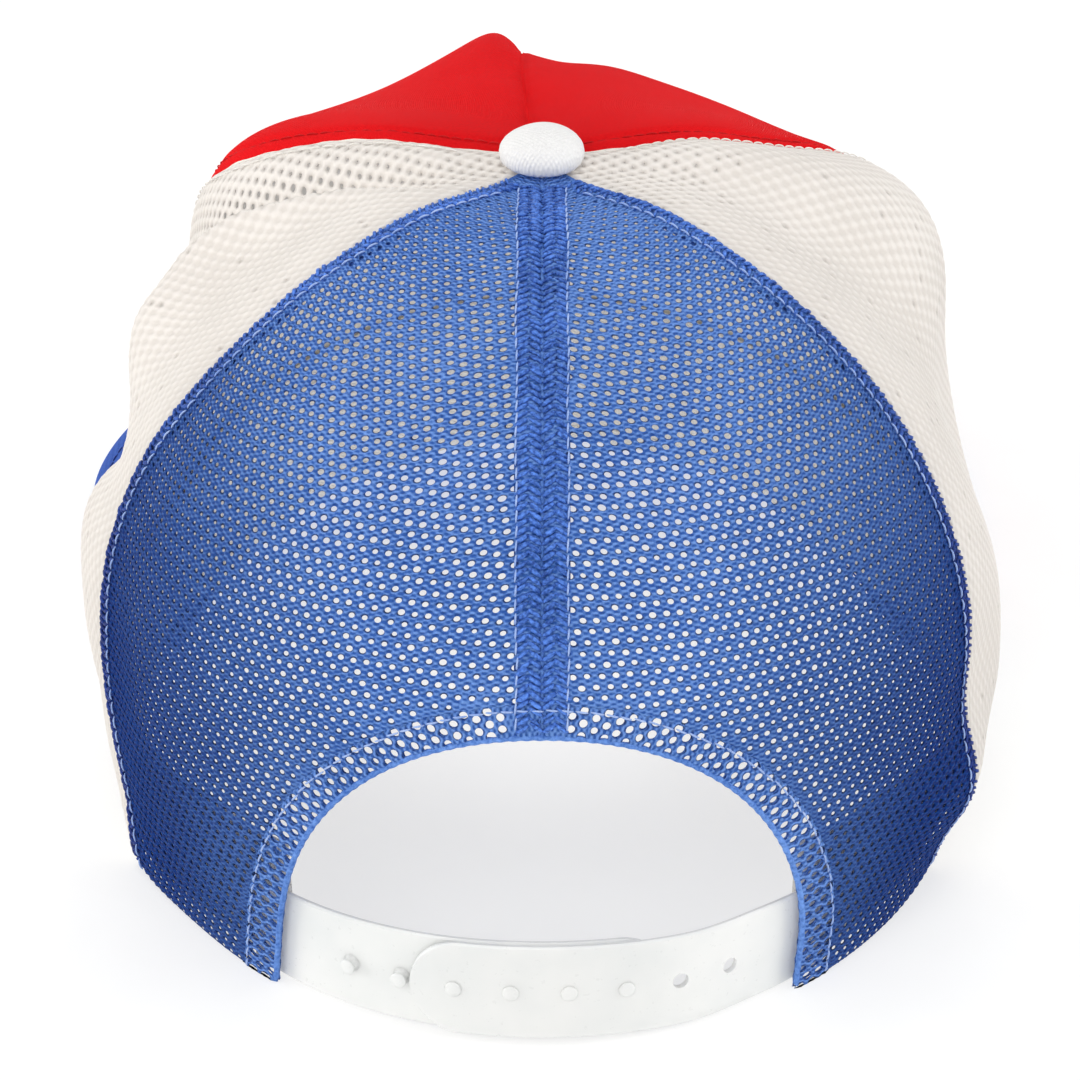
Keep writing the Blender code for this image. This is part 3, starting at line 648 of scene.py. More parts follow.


# Painted shade, darker at the sides and low down: its tint, the distances off the middle where
# it starts and is full, and the height
BLUE_PAINTED_SHADE = ((0.05, 0.17, 0.38), 0.040, 0.096, 0.115)
BLUE_HEM_PAINTED_SHADE = ((0.5, 0.6, 0.8), 0.075, 0.10, 0.115)
BLUE_NET = blue_net("net_blue", BLUE_PAINTED_SHADE)
BLUE_HEM = blue_net("net_blue_hem", BLUE_HEM_PAINTED_SHADE)
# Its weave carries painted shade in its hollows and painted highlights on its raised threads
CREAM_NET = fabric("net_cream", (0.85, 0.805, 0.755), (0.965, 0.925, 0.88), 0.68, (1.0, 1.0),
                   -0.8, grain=1400.0, grain_bump=0.6, broad=22.0, sheen=0.1,
                   translucent=0.3, weave_painted_shade=-0.25, grain_share=0.3)
RED_CLOTH = fabric("foam_face_red", (0.68, 0.006, 0.009), (0.84, 0.012, 0.015), 0.8,
                   (1250.0, 1250.0), 0.5, grain=1800.0, grain_bump=0.3, broad=9.0, sheen=0.0,
                   specular=0.03)
FOAM_BACK = fabric("foam_back", (0.78, 0.75, 0.68), (0.90, 0.88, 0.83), 0.9,
                   grain=700.0, grain_bump=1.0, broad=16.0, sheen=0.0)
BRIM_CLOTH = fabric("brim_cloth", (0.026, 0.085, 0.40), (0.045, 0.135, 0.54), 0.8,
                    (900.0, 900.0, 1.0), 0.7, grain=1500.0, grain_bump=0.35, broad=12.0,
                    sheen=0.05, specular=0.15)
BAND_CLOTH = fabric("sweatband_cloth", (0.76, 0.74, 0.69), (0.88, 0.87, 0.84), 0.85,
                    (700.0, 700.0, 1.0), 0.8, grain=1200.0, grain_bump=0.4, broad=15.0,
                    sheen=0.15)
BUTTON_CLOTH = fabric("button_cloth", (0.78, 0.77, 0.76), (0.845, 0.835, 0.825), 0.8,
                      (1000.0, 1000.0), 0.35, grain=1100.0, grain_bump=0.6, broad=40.0,
                      sheen=0.1)
PALE_THREAD = fabric("thread_pale_blue", (0.20, 0.33, 0.70), (0.42, 0.55, 0.85), 0.55,
                     grain=2600.0, grain_bump=0.8, broad=60.0)
# The blue thread carries the same painted shade at the sides as the blue net
BLUE_THREAD = fabric("thread_blue", (0.006, 0.045, 0.25), (0.110, 0.280, 0.86), 0.55,
                     grain=1500.0, grain_bump=1.2, broad=60.0, sheen=0.05, grain_share=0.7,
                     shade=BLUE_PAINTED_SHADE)
CREAM_THREAD = fabric("thread_cream", (0.74, 0.71, 0.64), (0.90, 0.88, 0.84), 0.6,
                      grain=2600.0, grain_bump=0.8, broad=60.0, sheen=0.1)
RED_THREAD = fabric("thread_red", (0.44, 0.008, 0.010), (0.62, 0.014, 0.016), 0.6,
                    grain=2600.0, grain_bump=0.8, broad=60.0, sheen=0.0, specular=0.08)


def plastic(name):
    """Moulded milky plastic with faint flow marks and fine scuffs."""
    look = Look(name)
    cloudy = look.noise(45.0, 3.0)
    fine = look.noise(900.0, 3.0)
    look.link(look.ramp(cloudy, (0.74, 0.755, 0.745), (0.83, 0.83, 0.81)),
              look.shader.inputs["Base Color"])
    look.link(look.ramp(fine, 0.26, 0.44), look.shader.inputs["Roughness"])
    fill(look.shader, {"Subsurface Weight": 0.25, "Subsurface Radius": (0.004, 0.004, 0.004),
                       "Subsurface Scale": 0.5})
    look.bump(look.math("ADD", cloudy, look.math("MULTIPLY", fine, 0.15)), 0.25, 0.0003)
    return look.made


STRAP_PLASTIC = plastic("strap_plastic")


# Building pieces

class Build:
    """Vertices, faces, UVs and material numbers gathered for one piece."""

    def __init__(self):
        self.verts, self.faces, self.looks, self.uvs = [], [], [], []
        self.count = 0

    def add_faces(self, faces, look=0):
        """Faces with as many corners each, by the numbers of the piece's vertices."""
        self.faces.append(faces)
        self.looks.append(np.broadcast_to(look, len(faces)))

    def add(self, verts, faces, look=0, uvs=None):
        """Vertices, and groups of faces that number them from 0."""
        verts = np.asarray(verts, float).reshape(-1, 3)
        self.verts.append(verts)
        self.uvs.append(np.zeros((len(verts), 2)) if uvs is None
                        else np.asarray(uvs, float).reshape(-1, 2))
        for group in faces:
            if len(group):
                self.add_faces(np.asarray(group, int) + self.count, look)
        self.count += len(verts)

    def grid(self, points, look=0, uvs=None, closed=False, flip=False, caps=0):
        """A sheet from points of shape (rows, columns, 3). caps of 1 or -1 close its first
        and last row, facing one way or the other."""
        rows, columns = points.shape[:2]
        index = np.arange(rows * columns).reshape(rows, columns)
        ends = [index[:1, ::-caps], index[-1:, ::caps]] if caps else []
        if closed:
            index = np.concatenate([index, index[:, :1]], axis=1)
        quads = np.stack([index[:-1, :-1], index[:-1, 1:], index[1:, 1:], index[1:, :-1]],
                         axis=-1).reshape(-1, 4)
        self.add(points, [quads[:, ::-1] if flip else quads, *ends], look, uvs)

    def make(self, name, materials):
        verts = np.concatenate(self.verts)
        verts[:, 2] = np.maximum(verts[:, 2], LEAST_HEIGHT * MM)
        loops = np.concatenate([group.ravel() for group in self.faces])
        sizes = np.concatenate([np.full(len(group), group.shape[1]) for group in self.faces])
        mesh = bpy.data.meshes.new(name)
        mesh.vertices.add(len(verts))
        mesh.vertices.foreach_set("co", verts.astype(np.float32).ravel())
        mesh.loops.add(len(loops))
        mesh.loops.foreach_set("vertex_index", loops.astype(np.int32))
        mesh.polygons.add(len(sizes))
        starts = np.concatenate([[0], np.cumsum(sizes)[:-1]])
        mesh.polygons.foreach_set("loop_start", starts.astype(np.int32))
        for material in materials:
            mesh.materials.append(material)
        mesh.polygons.foreach_set("material_index",
                                  np.concatenate(self.looks).astype(np.int32))
        layer = mesh.uv_layers.new(name="cloth")
        layer.data.foreach_set("uv", np.concatenate(self.uvs)[loops].astype(np.float32).ravel())
        mesh.update(calc_edges=True)
        mesh.validate()
        mesh.polygons.foreach_set("use_smooth", np.full(len(mesh.polygons), True))
        mesh.update()
        return add_object(name, mesh)


def add_object(name, data):
    thing = bpy.data.objects.new(name, data)
    bpy.context.scene.collection.objects.link(thing)
    return thing


def finish_piece(piece, slot, *nodes):
    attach(piece, "root")
    if nodes:
        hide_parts(*nodes)


def tidy_normals(piece, crease=35.0):
    """Faces turned outwards, and edges sharper than the crease angle marked sharp."""
    bm = bmesh.new()
    bm.from_mesh(piece.data)
    bmesh.ops.recalc_face_normals(bm, faces=bm.faces)
    bm.to_mesh(piece.data)
    bm.free()
    piece.data.polygons.foreach_set("use_smooth", np.full(len(piece.data.polygons), True))
    piece.data.set_sharp_from_angle(angle=math.radians(crease))


def unit(vectors):
    return vectors / np.linalg.norm(vectors, axis=-1, keepdims=True)


def circle(sides):
    return np.arange(sides) / sides * 2 * np.pi


def spokes(turns, first, second):
    """Unit vectors at turns in the plane of two others."""
    return np.cos(turns)[:, None] * first + np.sin(turns)[:, None] * second


def tube(build, centres, radii, sides=8, look=0):
    """A round tube along points, closed at both ends."""
    radii = np.broadcast_to(radii, (len(centres),))
    along = unit(np.gradient(centres, axis=0))
    first = np.cross(along[0], (1.0, 0.0, 0.0) if abs(along[0, 2]) > 0.9 else (0.0, 0.0, 1.0))
    rings = []
    for centre, radius, direction in zip(centres, radii, along):
        first = unit(first - direction * (first @ direction))
        rings.append(centre + radius * spokes(circle(sides), first, np.cross(direction, first)))
    count = len(centres)
    index = np.arange(count * sides).reshape(count, sides)
    nxt = np.roll(index, -1, axis=1)
    quads = np.stack([index[:-1], nxt[:-1], nxt[1:], index[1:]], axis=-1).reshape(-1, 4)
    first_end, last_end = count * sides, count * sides + 1
    caps = [(first_end, nxt[0, k], index[0, k]) for k in range(sides)]
    caps += [(last_end, index[-1, k], nxt[-1, k]) for k in range(sides)]
    build.add(np.concatenate([*rings, centres[[0, -1]]]), [quads, caps], look)


def stitches(build, points, normals, length=2.3, gap=0.45, thick=0.2, lift=0.1, look=0,
             sides=6):
    """A line of lockstitches along points: each a thread that dives at both its ends."""
    bow = np.array([-0.35, 0.45, 0.9, 1.0, 0.9, 0.45, -0.35])
    fat = np.array([0.55, 0.9, 1.0, 1.0, 1.0, 0.9, 0.55])
    slant = 0.10 * np.linspace(-1.0, 1.0, len(bow))[:, None]
    run = run_along(points) / MM
    at = 0.3
    while at + length < run[-1]:
        this = length * (1.0 + 0.08 * rng.standard_normal())
        s = at + this * np.linspace(0.0, 1.0, len(bow))
        middle = np.stack([np.interp(s, run, points[:, k]) for k in range(3)], axis=-1)
        normal = unit(np.stack([np.interp(s, run, normals[:, k]) for k in range(3)], axis=-1))
        side = unit(np.cross(middle[-1] - middle[0], normal[3]))
        shift = 0.06 * rng.standard_normal()
        middle = middle + normal * (lift + bow * thick)[:, None] * MM
        middle = middle + side * (shift + slant) * MM
        tube(build, middle, thick * fat * MM, sides, look)
        at += this + gap


def stitch_line(build, angles, shares, depth=0.0, **options):
    stitches(build, place(crown(angles, shares, depth)), outward(angles, shares), **options)


def knit_rows(build, seam, offsets, start, end, pitch=1.5, reach=1.15, lean=0.8, thick=0.4):
    """Columns of slanting yarn loops along a seam, at distances in millimetres from it."""
    squeezed = 11.0        # radius inside which the columns close up towards the button
    fat = np.array([0.6, 0.95, 1.0, 0.95, 0.6])
    t = np.linspace(-1.0, 1.0, len(fat))
    length = float(crown_length(seam_angle(seam, 0.5)))
    for number, offset in enumerate(offsets):
        slope = lean if number % 2 else -lean
        shares = np.arange(start, end, pitch / length)
        shares = shares + 0.1 * pitch / length * rng.standard_normal(len(shares))
        share = shares[:, None] + slope * t / length
        centre = seam_angle(seam, share)
        radius = radius_at(centre, share)
        away = (offset + reach * t) * np.minimum(1.0, radius / squeezed)
        away = away + 0.15 * rng.standard_normal((len(shares), 1))
        depth = 0.25 - 0.35 * (1.0 - t * t)
        for row in place(crown(centre + np.degrees(away / radius), share, depth)):
            tube(build, row, thick * (1.0 + 0.12 * rng.standard_normal()) * fat * MM, 5, 1)


# Nets

def folding(near):
    """How far the net has thinned into its folded border, at a distance from the border."""
    return np.clip(1.0 - near / NET_FOLD, 0.0, 1.0) ** 2


def net(build, centres, surface, clamp, margin, filled=None, opened=None, hole=NET_HOLE,
        pitch=NET_PITCH, row=NET_ROW, depth=0.0, thick=NET_THICKNESS, pit=BLUE_PIT,
        walls=None, look=0):
    """Knitted net with a hole in each cell of a staggered lattice.

    centres are (i, j) cell numbers. clamp(p, q) takes lattice places in millimetres to the
    place on the surface, inside the border, and the distance to it. margin(p, q) is that
    distance, negative outside. filled(p, q) says which cells have no hole. opened(p, q) is
    the size of the holes, from 0 to 1; the smallest are drawn shut, as pits of the depth
    given. walls are the depths between which a hole's wall is straight; without them its
    rim is rounded all through.
    """
    i, j = centres
    cx, cy = 4 * i + 2 * (j % 2), 6 * j
    p0, q0 = cx * pitch / 4, cy * row / 6
    room = margin(p0, q0)
    keep = room > -NET_REACH
    cx, cy, p0, q0, room = cx[keep], cy[keep], p0[keep], q0[keep], room[keep]
    solid = room < NET_BORDER
    if filled is not None:
        solid = solid | filled(p0, q0)
    wide = np.ones(len(p0)) if opened is None else opened(p0, q0)
    solid = solid | (wide + 0.03 * rng.standard_normal(len(p0)) < SHUT_BELOW)
    corners = np.stack([cx[:, None] + NET_RING[:, 0], cy[:, None] + NET_RING[:, 1]], axis=-1)
    keys, lookup = np.unique(corners.reshape(-1, 2), axis=0, return_inverse=True)
    lookup = lookup.reshape(corners.shape[:2])
    corners_at = keys * (pitch / 4, row / 6)
    spot, near = clamp(*corners_at.T)
    # Knots, where three cells meet, stand proud, and the links between them sink
    link = keys[:, 0] % 2 != 0
    lumps = np.where(link, 0.13, 0.0) + 0.07 * rng.random(len(keys))
    middle = depth + thick / 2 + 0.25 * folding(near)
    half = (thick / 2 - lumps) * (1.0 - folding(near))
    verts = [surface(spot, middle - half), surface(spot, middle + half)]
    lattice = [corners_at, corners_at]
    total = 2 * len(keys)

    # Rims of the holes
    turns = np.arctan2(NET_RING[:, 1] * row / 6, NET_RING[:, 0] * pitch / 4)
    bare = np.where(~solid)[0]
    size = wide[bare] * (1.0 + 0.09 * rng.standard_normal(len(bare)))
    shift = 0.05 * rng.standard_normal((2, len(bare), 1))
    hp = p0[bare, None] + shift[0] + hole[0] * size[:, None] * np.cos(turns)
    hq = q0[bare, None] + shift[1] + hole[1] * size[:, None] * np.sin(turns)
    spot, near = clamp(hp.ravel(), hq.ravel())
    rims = []
    for deep in walls or [thick / 2]:
        verts.append(surface(spot, depth + deep + 0.25 * folding(near)))
        lattice.append(np.stack([hp.ravel(), hq.ravel()], axis=-1))
        rims.append(total + np.arange(hp.size).reshape(hp.shape))
        total += hp.size

    # Pits of the cells without a hole, outside and inside
    shut = np.where(solid)[0]
    shut_at = np.stack([p0[shut], q0[shut]], axis=-1)
    spot, near = clamp(*shut_at.T)
    verts.append(surface(spot, depth + pit + 0.2 * folding(near)))
    verts.append(surface(spot, depth + 0.62 + 0.1 * folding(near)))
    lattice += [shut_at, shut_at]
    dimples = np.repeat(total + np.arange(len(shut))[:, None], len(NET_RING), axis=1)

    def nxt(a):
        return np.roll(a, -1, axis=1)

    rings = [lookup[bare], *rims, lookup[bare] + len(keys)]
    quads = [np.stack([outer, nxt(outer), nxt(inner), inner], axis=-1).reshape(-1, 4)
             for outer, inner in zip(rings, rings[1:])]
    uppers, lowers = lookup[shut], lookup[shut] + len(keys)
    faces = quads + [
        np.stack([uppers, nxt(uppers), dimples], axis=-1).reshape(-1, 3),
        np.stack([nxt(lowers), lowers, dimples + len(shut)], axis=-1).reshape(-1, 3)]
    whole = np.concatenate(verts)
    if looks_in(*(whole[faces[0][:400, k]] for k in range(3))):
        faces = [group[:, ::-1] for group in faces]
    build.add(whole, faces, look, np.concatenate(lattice) / (pitch, 2 * row) + 0.25)


def panel_net(build, right, left, arched):
    """The net of one panel between two seams, clipped at the hem and the opening."""
    length = float(crown_length((SEAMS[right][-1] + SEAMS[left][-1]) / 2))
    inset = SEAM_GAP / 2
    top_share, low_share, last_share = CROWN_HOLE_SHARE, CLOTH_END, 1.01

    def locate(p, q):
        share = q / length
        middle = (seam_angle(right, share) + seam_angle(left, share)) / 2
        radius = radius_at(middle, np.clip(share, 0.0, last_share))
        return middle + np.degrees(p / radius), share

    def from_seams(angle, share):
        per = np.radians(radius_at(angle, np.clip(share, 0.0, last_share)))
        return ((angle - seam_angle(right, share)) * per,
                (seam_angle(left, share) - angle) * per)

    def gaps(angle, share):
        share = np.clip(share, 0.0, last_share)
        room = np.minimum(*from_seams(angle, share)) - inset
        room = np.minimum(room, (low_share - share) * length)
        room = np.minimum(room, (share - top_share) * length)
        if arched:
            spot = crown(angle, share)
            away = from_arch(spot[..., 0], spot[..., 2])[0]
            room = np.minimum(room, np.where(spot[..., 1] > 0, away - FACING_WIDTH, 99.0))
        return room

    def margin(p, q):
        return gaps(*locate(p, q))

    def clamp(p, q):
        angle, share = locate(p, q)
        share = np.clip(share, top_share, low_share)
        if arched:
            spot = crown(angle, share)
            away, run = from_arch(spot[..., 0], spot[..., 2])
            inside = (away < FACING_WIDTH) & (spot[..., 1] > 0)
            if inside.any():
                angle[inside], share[inside] = arch_surface(run[inside], FACING_WIDTH)
                share = np.clip(share, top_share, low_share)
        per = np.radians(radius_at(angle, share))
        angle = np.maximum(angle, seam_angle(right, share) + inset / per)
        angle = np.minimum(angle, seam_angle(left, share) - inset / per)
        return np.stack([angle, share], axis=-1), np.maximum(0.0, gaps(angle, share))

    def surface(spot, depth):
        return place(crown(spot[:, 0], spot[:, 1], depth))

    def filled(p, q):
        from_right, from_left = from_seams(*locate(p, q))
        return ((from_right < CLOSED_BY_SEAM.get(right, 0.0))
                | (from_left < CLOSED_BY_SEAM.get(left, 0.0)))

    def blue_opened(p, q):
        """Smaller towards the button, at the sides of the cap and above the opening."""
        angle, share = locate(p, q)
        top = 0.36 + 0.64 * smoothstep((share - 0.07) / 0.25)
        middle = 1.0 - 0.16 * smoothstep((share - 0.45) / 0.3)
        side = smoothstep((np.abs(angle) - 26.0) / 26.0) * smoothstep((share - 0.3) / 0.3)
        return top * middle * (1.0 - 0.5 * side)

    def cream_opened(p, q):
        """Open near the button on the right, and in the shade of the crease on the left."""
        angle, share = locate(p, q)
        if angle.mean() < 0:
            return 0.37 - 0.12 * smoothstep((share - 0.10) / 0.14)
        ahead, along, run = from_crease(angle, share)
        dark = np.exp(-((ahead - 3.0) / 4.0) ** 2) * smoothstep(along / run / 0.7)
        return np.where((ahead > 0.5) & (share < 0.56), 0.31 + 0.80 * dark, 0.25)

    half_width = 72.0      # more than half of any panel
    columns, rows = int(half_width / NET_PITCH), int(length / NET_ROW) + 1
    i, j = np.meshgrid(np.arange(-columns, columns + 1), np.arange(1, rows + 1))
    kind = ({"filled": filled, "opened": blue_opened, "pit": BLUE_PIT} if arched else
            {"opened": cream_opened, "pit": CREAM_PIT, "walls": [0.24, 0.46]})
    net(build, (i.ravel(), j.ravel()), surface, clamp, margin, **kind)


def hem_band(build, start, end, depth, thick, hole, look=0):
    """The strip of net along the opening, between two runs of its edge."""
    inner, outer = 0.15, FACING_WIDTH + 0.35

    def margin(p, q):
        return np.minimum(np.minimum(p - inner, outer - p), np.minimum(q - start, end - q))

    def clamp(p, q):
        p = np.clip(p, inner, outer)
        q = np.clip(q, start, end)
        return np.stack([*arch_surface(q, p)], axis=-1), np.maximum(0.0, margin(p, q))

    def surface(spot, deep):
        return place(crown(spot[:, 0], np.minimum(spot[:, 1], CLOTH_END), deep))

    def filled(p, q):
        return np.abs(np.interp(q, ARCH_RUN, ARCH_LINE[:, 0])) < TAPE_HALF_WIDTH + 0.2

    pitch, row = HEM_PITCH, NET_ROW
    columns, rows = int(FACING_WIDTH / pitch) + 2, int(ARCH_RUN[-1] / row) + 2
    i, j = np.meshgrid(np.arange(0, columns), np.arange(0, rows))
    net(build, (i.ravel(), j.ravel()), surface, clamp, margin, filled=filled,
        hole=hole, pitch=pitch, row=row, depth=depth, thick=thick, look=look)


SEAM_END = CLOTH_END - 0.0065     # share where the cloth inside a seam ends


def allowance(build, seam, side):
    """The doubled cloth inside a seam, a strip turned back under the panel."""
    shares = np.linspace(0.05, SEAM_END, 90)[:, None]
    # Distances from the seam and depths, along the strip's upper side and back
    away = np.array([0.15, 0.7, 1.6, 3.0, 4.2, 4.7, 4.7, 4.2, 3.0, 1.6, 0.7, 0.15])
    deep = np.array([0.85, 0.86, 0.9, 0.92, 0.94, 0.98, 1.25, 1.3, 1.32, 1.3, 1.25, 1.15])
    ripple = 0.2 * np.sin(shares * 61.0) + 0.15 * np.sin(shares * 113.0 + 1.0)
    away = away + np.where(away > 4.5, ripple, 0.0)
    points = place(crown(beside(seam, shares, side * away), shares, deep))
    build.grid(points, flip=side < 0, closed=True)


def seam_core(build, seam, depth, radius, look=0, end=SEAM_END):
    """The gathered edges inside a seam, which close the gap between two panels."""
    shares = np.linspace(0.03, end, 150)
    centres = place(crown(seam_angle(seam, shares), shares, depth))
    tube(build, centres, (radius + 0.05 * np.sin(shares * 310.0)) * MM, 8, look)


NET_PANELS = [
    # name, seam on its right, seam on its left, material, slot
    ("back_panel_left", "rear", "rear_left", BLUE_NET, "blue_mesh"),
    ("back_panel_right", "rear_right", "rear", BLUE_NET, "blue_mesh"),
    ("side_panel_left", "rear_left", "front_left", CREAM_NET, "cream_mesh"),
    ("side_panel_right", "front_right", "rear_right", CREAM_NET, "cream_mesh"),
]


def make_net_panels():
    crest_share = float(surface_at(0.0, ARCH_SPRING + ARCH_RISE)[1])
    crest = np.interp(0.0, -ARCH_LINE[:, 0], ARCH_RUN)
    first, last = HEM_START, ARCH_RUN[-1] - HEM_START
    for name, right, left, look, slot in NET_PANELS:
        build = Build()
        arched = name.startswith("back")
        panel_net(build, right, left, arched)
        if arched:
            ends = (first, crest - 0.2) if name.endswith("left") else (crest + 0.2, last)
            hem_band(build, *ends, 0.0, 0.55, (0.80, 0.72), look=1)
        for seam, side in ((right, 1), (left, -1)):
            if seam != "rear":
                allowance(build, seam, side)
        if name == "back_panel_left":
            seam_core(build, left, 0.75, 0.42)
            seam_core(build, right, 0.75, 0.42, end=crest_share - 0.002)
        if name == "back_panel_right":
            seam_core(build, right, 0.75, 0.42)
        piece = build.make(name + "_net", [look, BLUE_HEM] if arched else [look])
        finish_piece(piece, slot, name)


# Foam front

def make_front(name, right, left):
    """A foam panel between two seams, the outer of which is stitched down."""
    stitched, inwards = (right, 1) if name.endswith("left") else (left, -1)
    columns, rows = 90, 110
    u = 0.5 - 0.5 * np.cos(np.pi * np.arange(columns + 1) / columns)
    share = np.linspace(CROWN_HOLE_SHARE, HEM_SHARE - 0.001, rows + 1)[:, None]
    start, end = seam_angle(right, share), seam_angle(left, share)
    per = np.radians(radius_at(start, share))
    inset = SEAM_GAP / 2 / per
    angle = start + inset + (end - start - 2 * inset) * u
    width = (end - start) * np.radians(radius_at((start + end) / 2, share))
    edge = np.minimum(u, 1.0 - u) * width
    from_side = (u if stitched == right else 1.0 - u) * width
    length = crown_length(angle)
    down = share * length
    hem = (1.0 - share) * length
    # Puckers where the seams draw the foam in, and a slow unevenness of the foam
    puckers = (np.sin(down / 1.15 + 1.3 * np.sin(down / 7.0)) * np.exp(-edge / 3.2) * 0.10
               + np.sin(down / 4.6 + angle / 9.0) * np.exp(-edge / 9.0) * 0.22)
    slow = 0.25 * np.sin(angle / 7.3 + 2.0 * share) * np.sin(down / 13.0 + angle / 17.0)
    ease = smoothstep(edge / 6.0) * smoothstep(hem / 12.0)
    topstitch = 0.5 * np.exp(-((from_side - FOAM_STITCH) / 0.8) ** 2) * smoothstep(share / 0.06)
    hem_roll = np.exp(-(hem / 1.2) ** 2)
    roll = 0.55 * np.exp(-(edge / 0.8) ** 2) + topstitch + 0.9 * hem_roll
    outer = place(crown(angle, share, roll - puckers - slow * ease))
    foam = FOAM_SEAM_THICKNESS + (FOAM_THICKNESS - FOAM_SEAM_THICKNESS) * smoothstep(
        edge / FOAM_TAPER)
    inner = place(crown(angle, share, foam - 0.3 * hem_roll - 0.3 * slow))
    uvs = np.stack([angle * per.mean() * MM, down * MM], axis=-1)
    build = Build()
    build.grid(outer, 0, uvs)
    build.grid(inner, 1, uvs, flip=True)
    # Edges from the outer sheet to the inner, in the colour of the foam on the stitched side
    index = np.arange((rows + 1) * (columns + 1)).reshape(rows + 1, columns + 1)
    border = np.concatenate([index[0, :], index[1:, -1], index[-1, -2::-1], index[-2:0:-1, 0]])
    nxt = np.roll(border, -1)
    walls = np.stack([nxt, border, border + index.size, nxt + index.size], axis=-1)
    wall_looks = np.zeros(len(walls), int)
    first, last = (2 * columns + rows, len(walls)) if stitched == right else (columns,
                                                                              columns + rows)
    wall_looks[first:last] = 1
    build.add_faces(walls, wall_looks)
    if looks_in(outer[40, 40], outer[40, 41], outer[41, 41]):
        build.faces = [group[:, ::-1] for group in build.faces]
    seam_core(build, stitched, 1.35, 0.6, look=1)
    if stitched == right:
        seam_core(build, left, 1.35, 0.6)
    shares = np.linspace(0.045, CLOTH_END - 0.0135, 300)
    stitch_line(build, beside(stitched, shares, inwards * FOAM_STITCH), shares, depth=0.42,
                thick=0.15, lift=0.05, look=2)
    piece = build.make(name + "_foam", [RED_CLOTH, FOAM_BACK, RED_THREAD])
    finish_piece(piece, "red_foam", name)


# Hem of the opening, and the tape

def make_facing():
    build = Build()
    hem_band(build, HEM_START, ARCH_RUN[-1] - HEM_START, 0.85, 0.4, (0.90, 0.80))
    # The fold that joins the outer cloth to the turned-in cloth
    run = np.linspace(0.8, ARCH_RUN[-1] - 0.8, 420)
    angle, share = arch_surface(run, 0.45)
    centres = place(crown(angle, np.minimum(share, CLOTH_END - 0.0055), 0.65))
    tube(build, centres, (0.58 + 0.07 * np.sin(run * 2 * np.pi / HEM_PITCH)) * MM, 10)
    piece = build.make("opening_hem", [BLUE_HEM])
    finish_piece(piece, "blue_mesh", "opening_facing")


def make_tape():
    top = TAPE_START / crown_length(0.0)
    low = float(surface_at(0.0, ARCH_SPRING + ARCH_RISE + 7.4)[1])
    shares = np.linspace(top, low, 60)[:, None]
    # Its section, as shares of its half width and depths, along its outer side and back
    across = np.array([-1.0, -0.97, -0.7, -0.35, 0.0, 0.35, 0.7, 0.97,
                       1.0, 0.97, 0.7, 0.35, 0.0, -0.35, -0.7, -0.97])
    deep = FACING_DEPTH + np.array([0.4, 0.15, 0.0, 0.0, 0.06, 0.0, 0.0, 0.15,
                                    0.4, 0.7, 0.8, 0.8, 0.8, 0.8, 0.8, 0.7])
    radius = radius_at(0.0, shares)
    half = np.minimum(TAPE_HALF_WIDTH + 0.4, radius * 0.5)
    build = Build()
    build.grid(place(crown(np.degrees(across * half / radius), shares, deep)), closed=True,
               caps=1)
    piece = build.make("back_tape", [BLUE_NET])
    finish_piece(piece, "blue_mesh", "back_seam_tape")


# Sweatband

def band_reach(angle):
    """The band's width: along the brim it goes on down over the brim's inner edge."""
    cover = 4.0 * smoothstep((np.abs(signed(angle)) - BRIM_CORNER) / 14.0)
    return SWEATBAND_TOP - SWEATBAND_BOTTOM + cover


def band_swell(rise):
    """How far its cloth swells inwards, from its upper edge at 0 to its lower edge at 1."""
    return 0.55 * np.sin(np.pi * rise) ** 0.6


def make_sweatband():
    upper_row, lower_row = 0.16, 0.9      # the rows of stitches, from its upper edge
    fold = 0.35
    angles = np.linspace(SWEATBAND_END, 360.0 - SWEATBAND_END, 240)
    away = np.abs(signed(angles))
    deep = np.interp(away, *zip(*SWEATBAND_DEPTHS))
    rise = np.linspace(0.0, 1.0, 16)[:, None]
    heights = SWEATBAND_TOP - rise * band_reach(angles)
    wave = 0.12 * np.sin(angles * 1.9) * np.sin(angles * 0.63 + 1.0)
    swell = (band_swell(rise) + wave) * smoothstep((away - SWEATBAND_END) / 2.0)
    groove = 0.35 * np.exp(-((rise - upper_row) / 0.03) ** 2)
    inner_deep = deep + SWEATBAND_THICKNESS + swell - groove
    middle_deep = (deep + SWEATBAND_THICKNESS / 2)[None]

    def sheet(at, depth):
        return place(crown(angles, share_above_hem(angles, at), depth))

    # Over the upper fold, down the outer side, round the lower fold and up the inner side
    loop = np.concatenate([sheet(heights[:1] + fold, middle_deep), sheet(heights, deep),
                           sheet(heights[-1:] - fold, middle_deep),
                           sheet(heights, inner_deep)[::-1]], axis=0).transpose(1, 0, 2)
    u = np.broadcast_to((angles * 1.55 * MM)[:, None], loop.shape[:2])
    v = np.concatenate([heights[:1], heights, heights[-1:], heights[::-1]]).T * MM
    build = Build()
    build.grid(loop, 0, np.stack([u, v], axis=-1), closed=True, caps=1)
    at = np.linspace(SWEATBAND_END + 1.5, 360.0 - SWEATBAND_END - 1.5, 700)
    deep = np.interp(np.abs(signed(at)), *zip(*SWEATBAND_DEPTHS)) + SWEATBAND_THICKNESS
    for row in (upper_row, lower_row):
        share = share_above_hem(at, SWEATBAND_TOP - row * band_reach(at))
        points = place(crown(at, share, deep + band_swell(row) - 0.1))
        stitches(build, points, -outward(at, share), length=2.6, gap=0.5, thick=0.17,
                 lift=0.12, look=1)
    piece = build.make("sweatband_cloth", [BAND_CLOTH, CREAM_THREAD])
    finish_piece(piece, "cream_cloth", "sweatband")


# Straps

def strap_middle(arc):
    """Height of the straps' centre line at a length along the hem."""
    return (STRAP_BOTTOM + STRAP_WIDTH / 2
            - STRAP_DROOP * smoothstep(np.abs(arc) / ARCH_HALF_WIDTH))


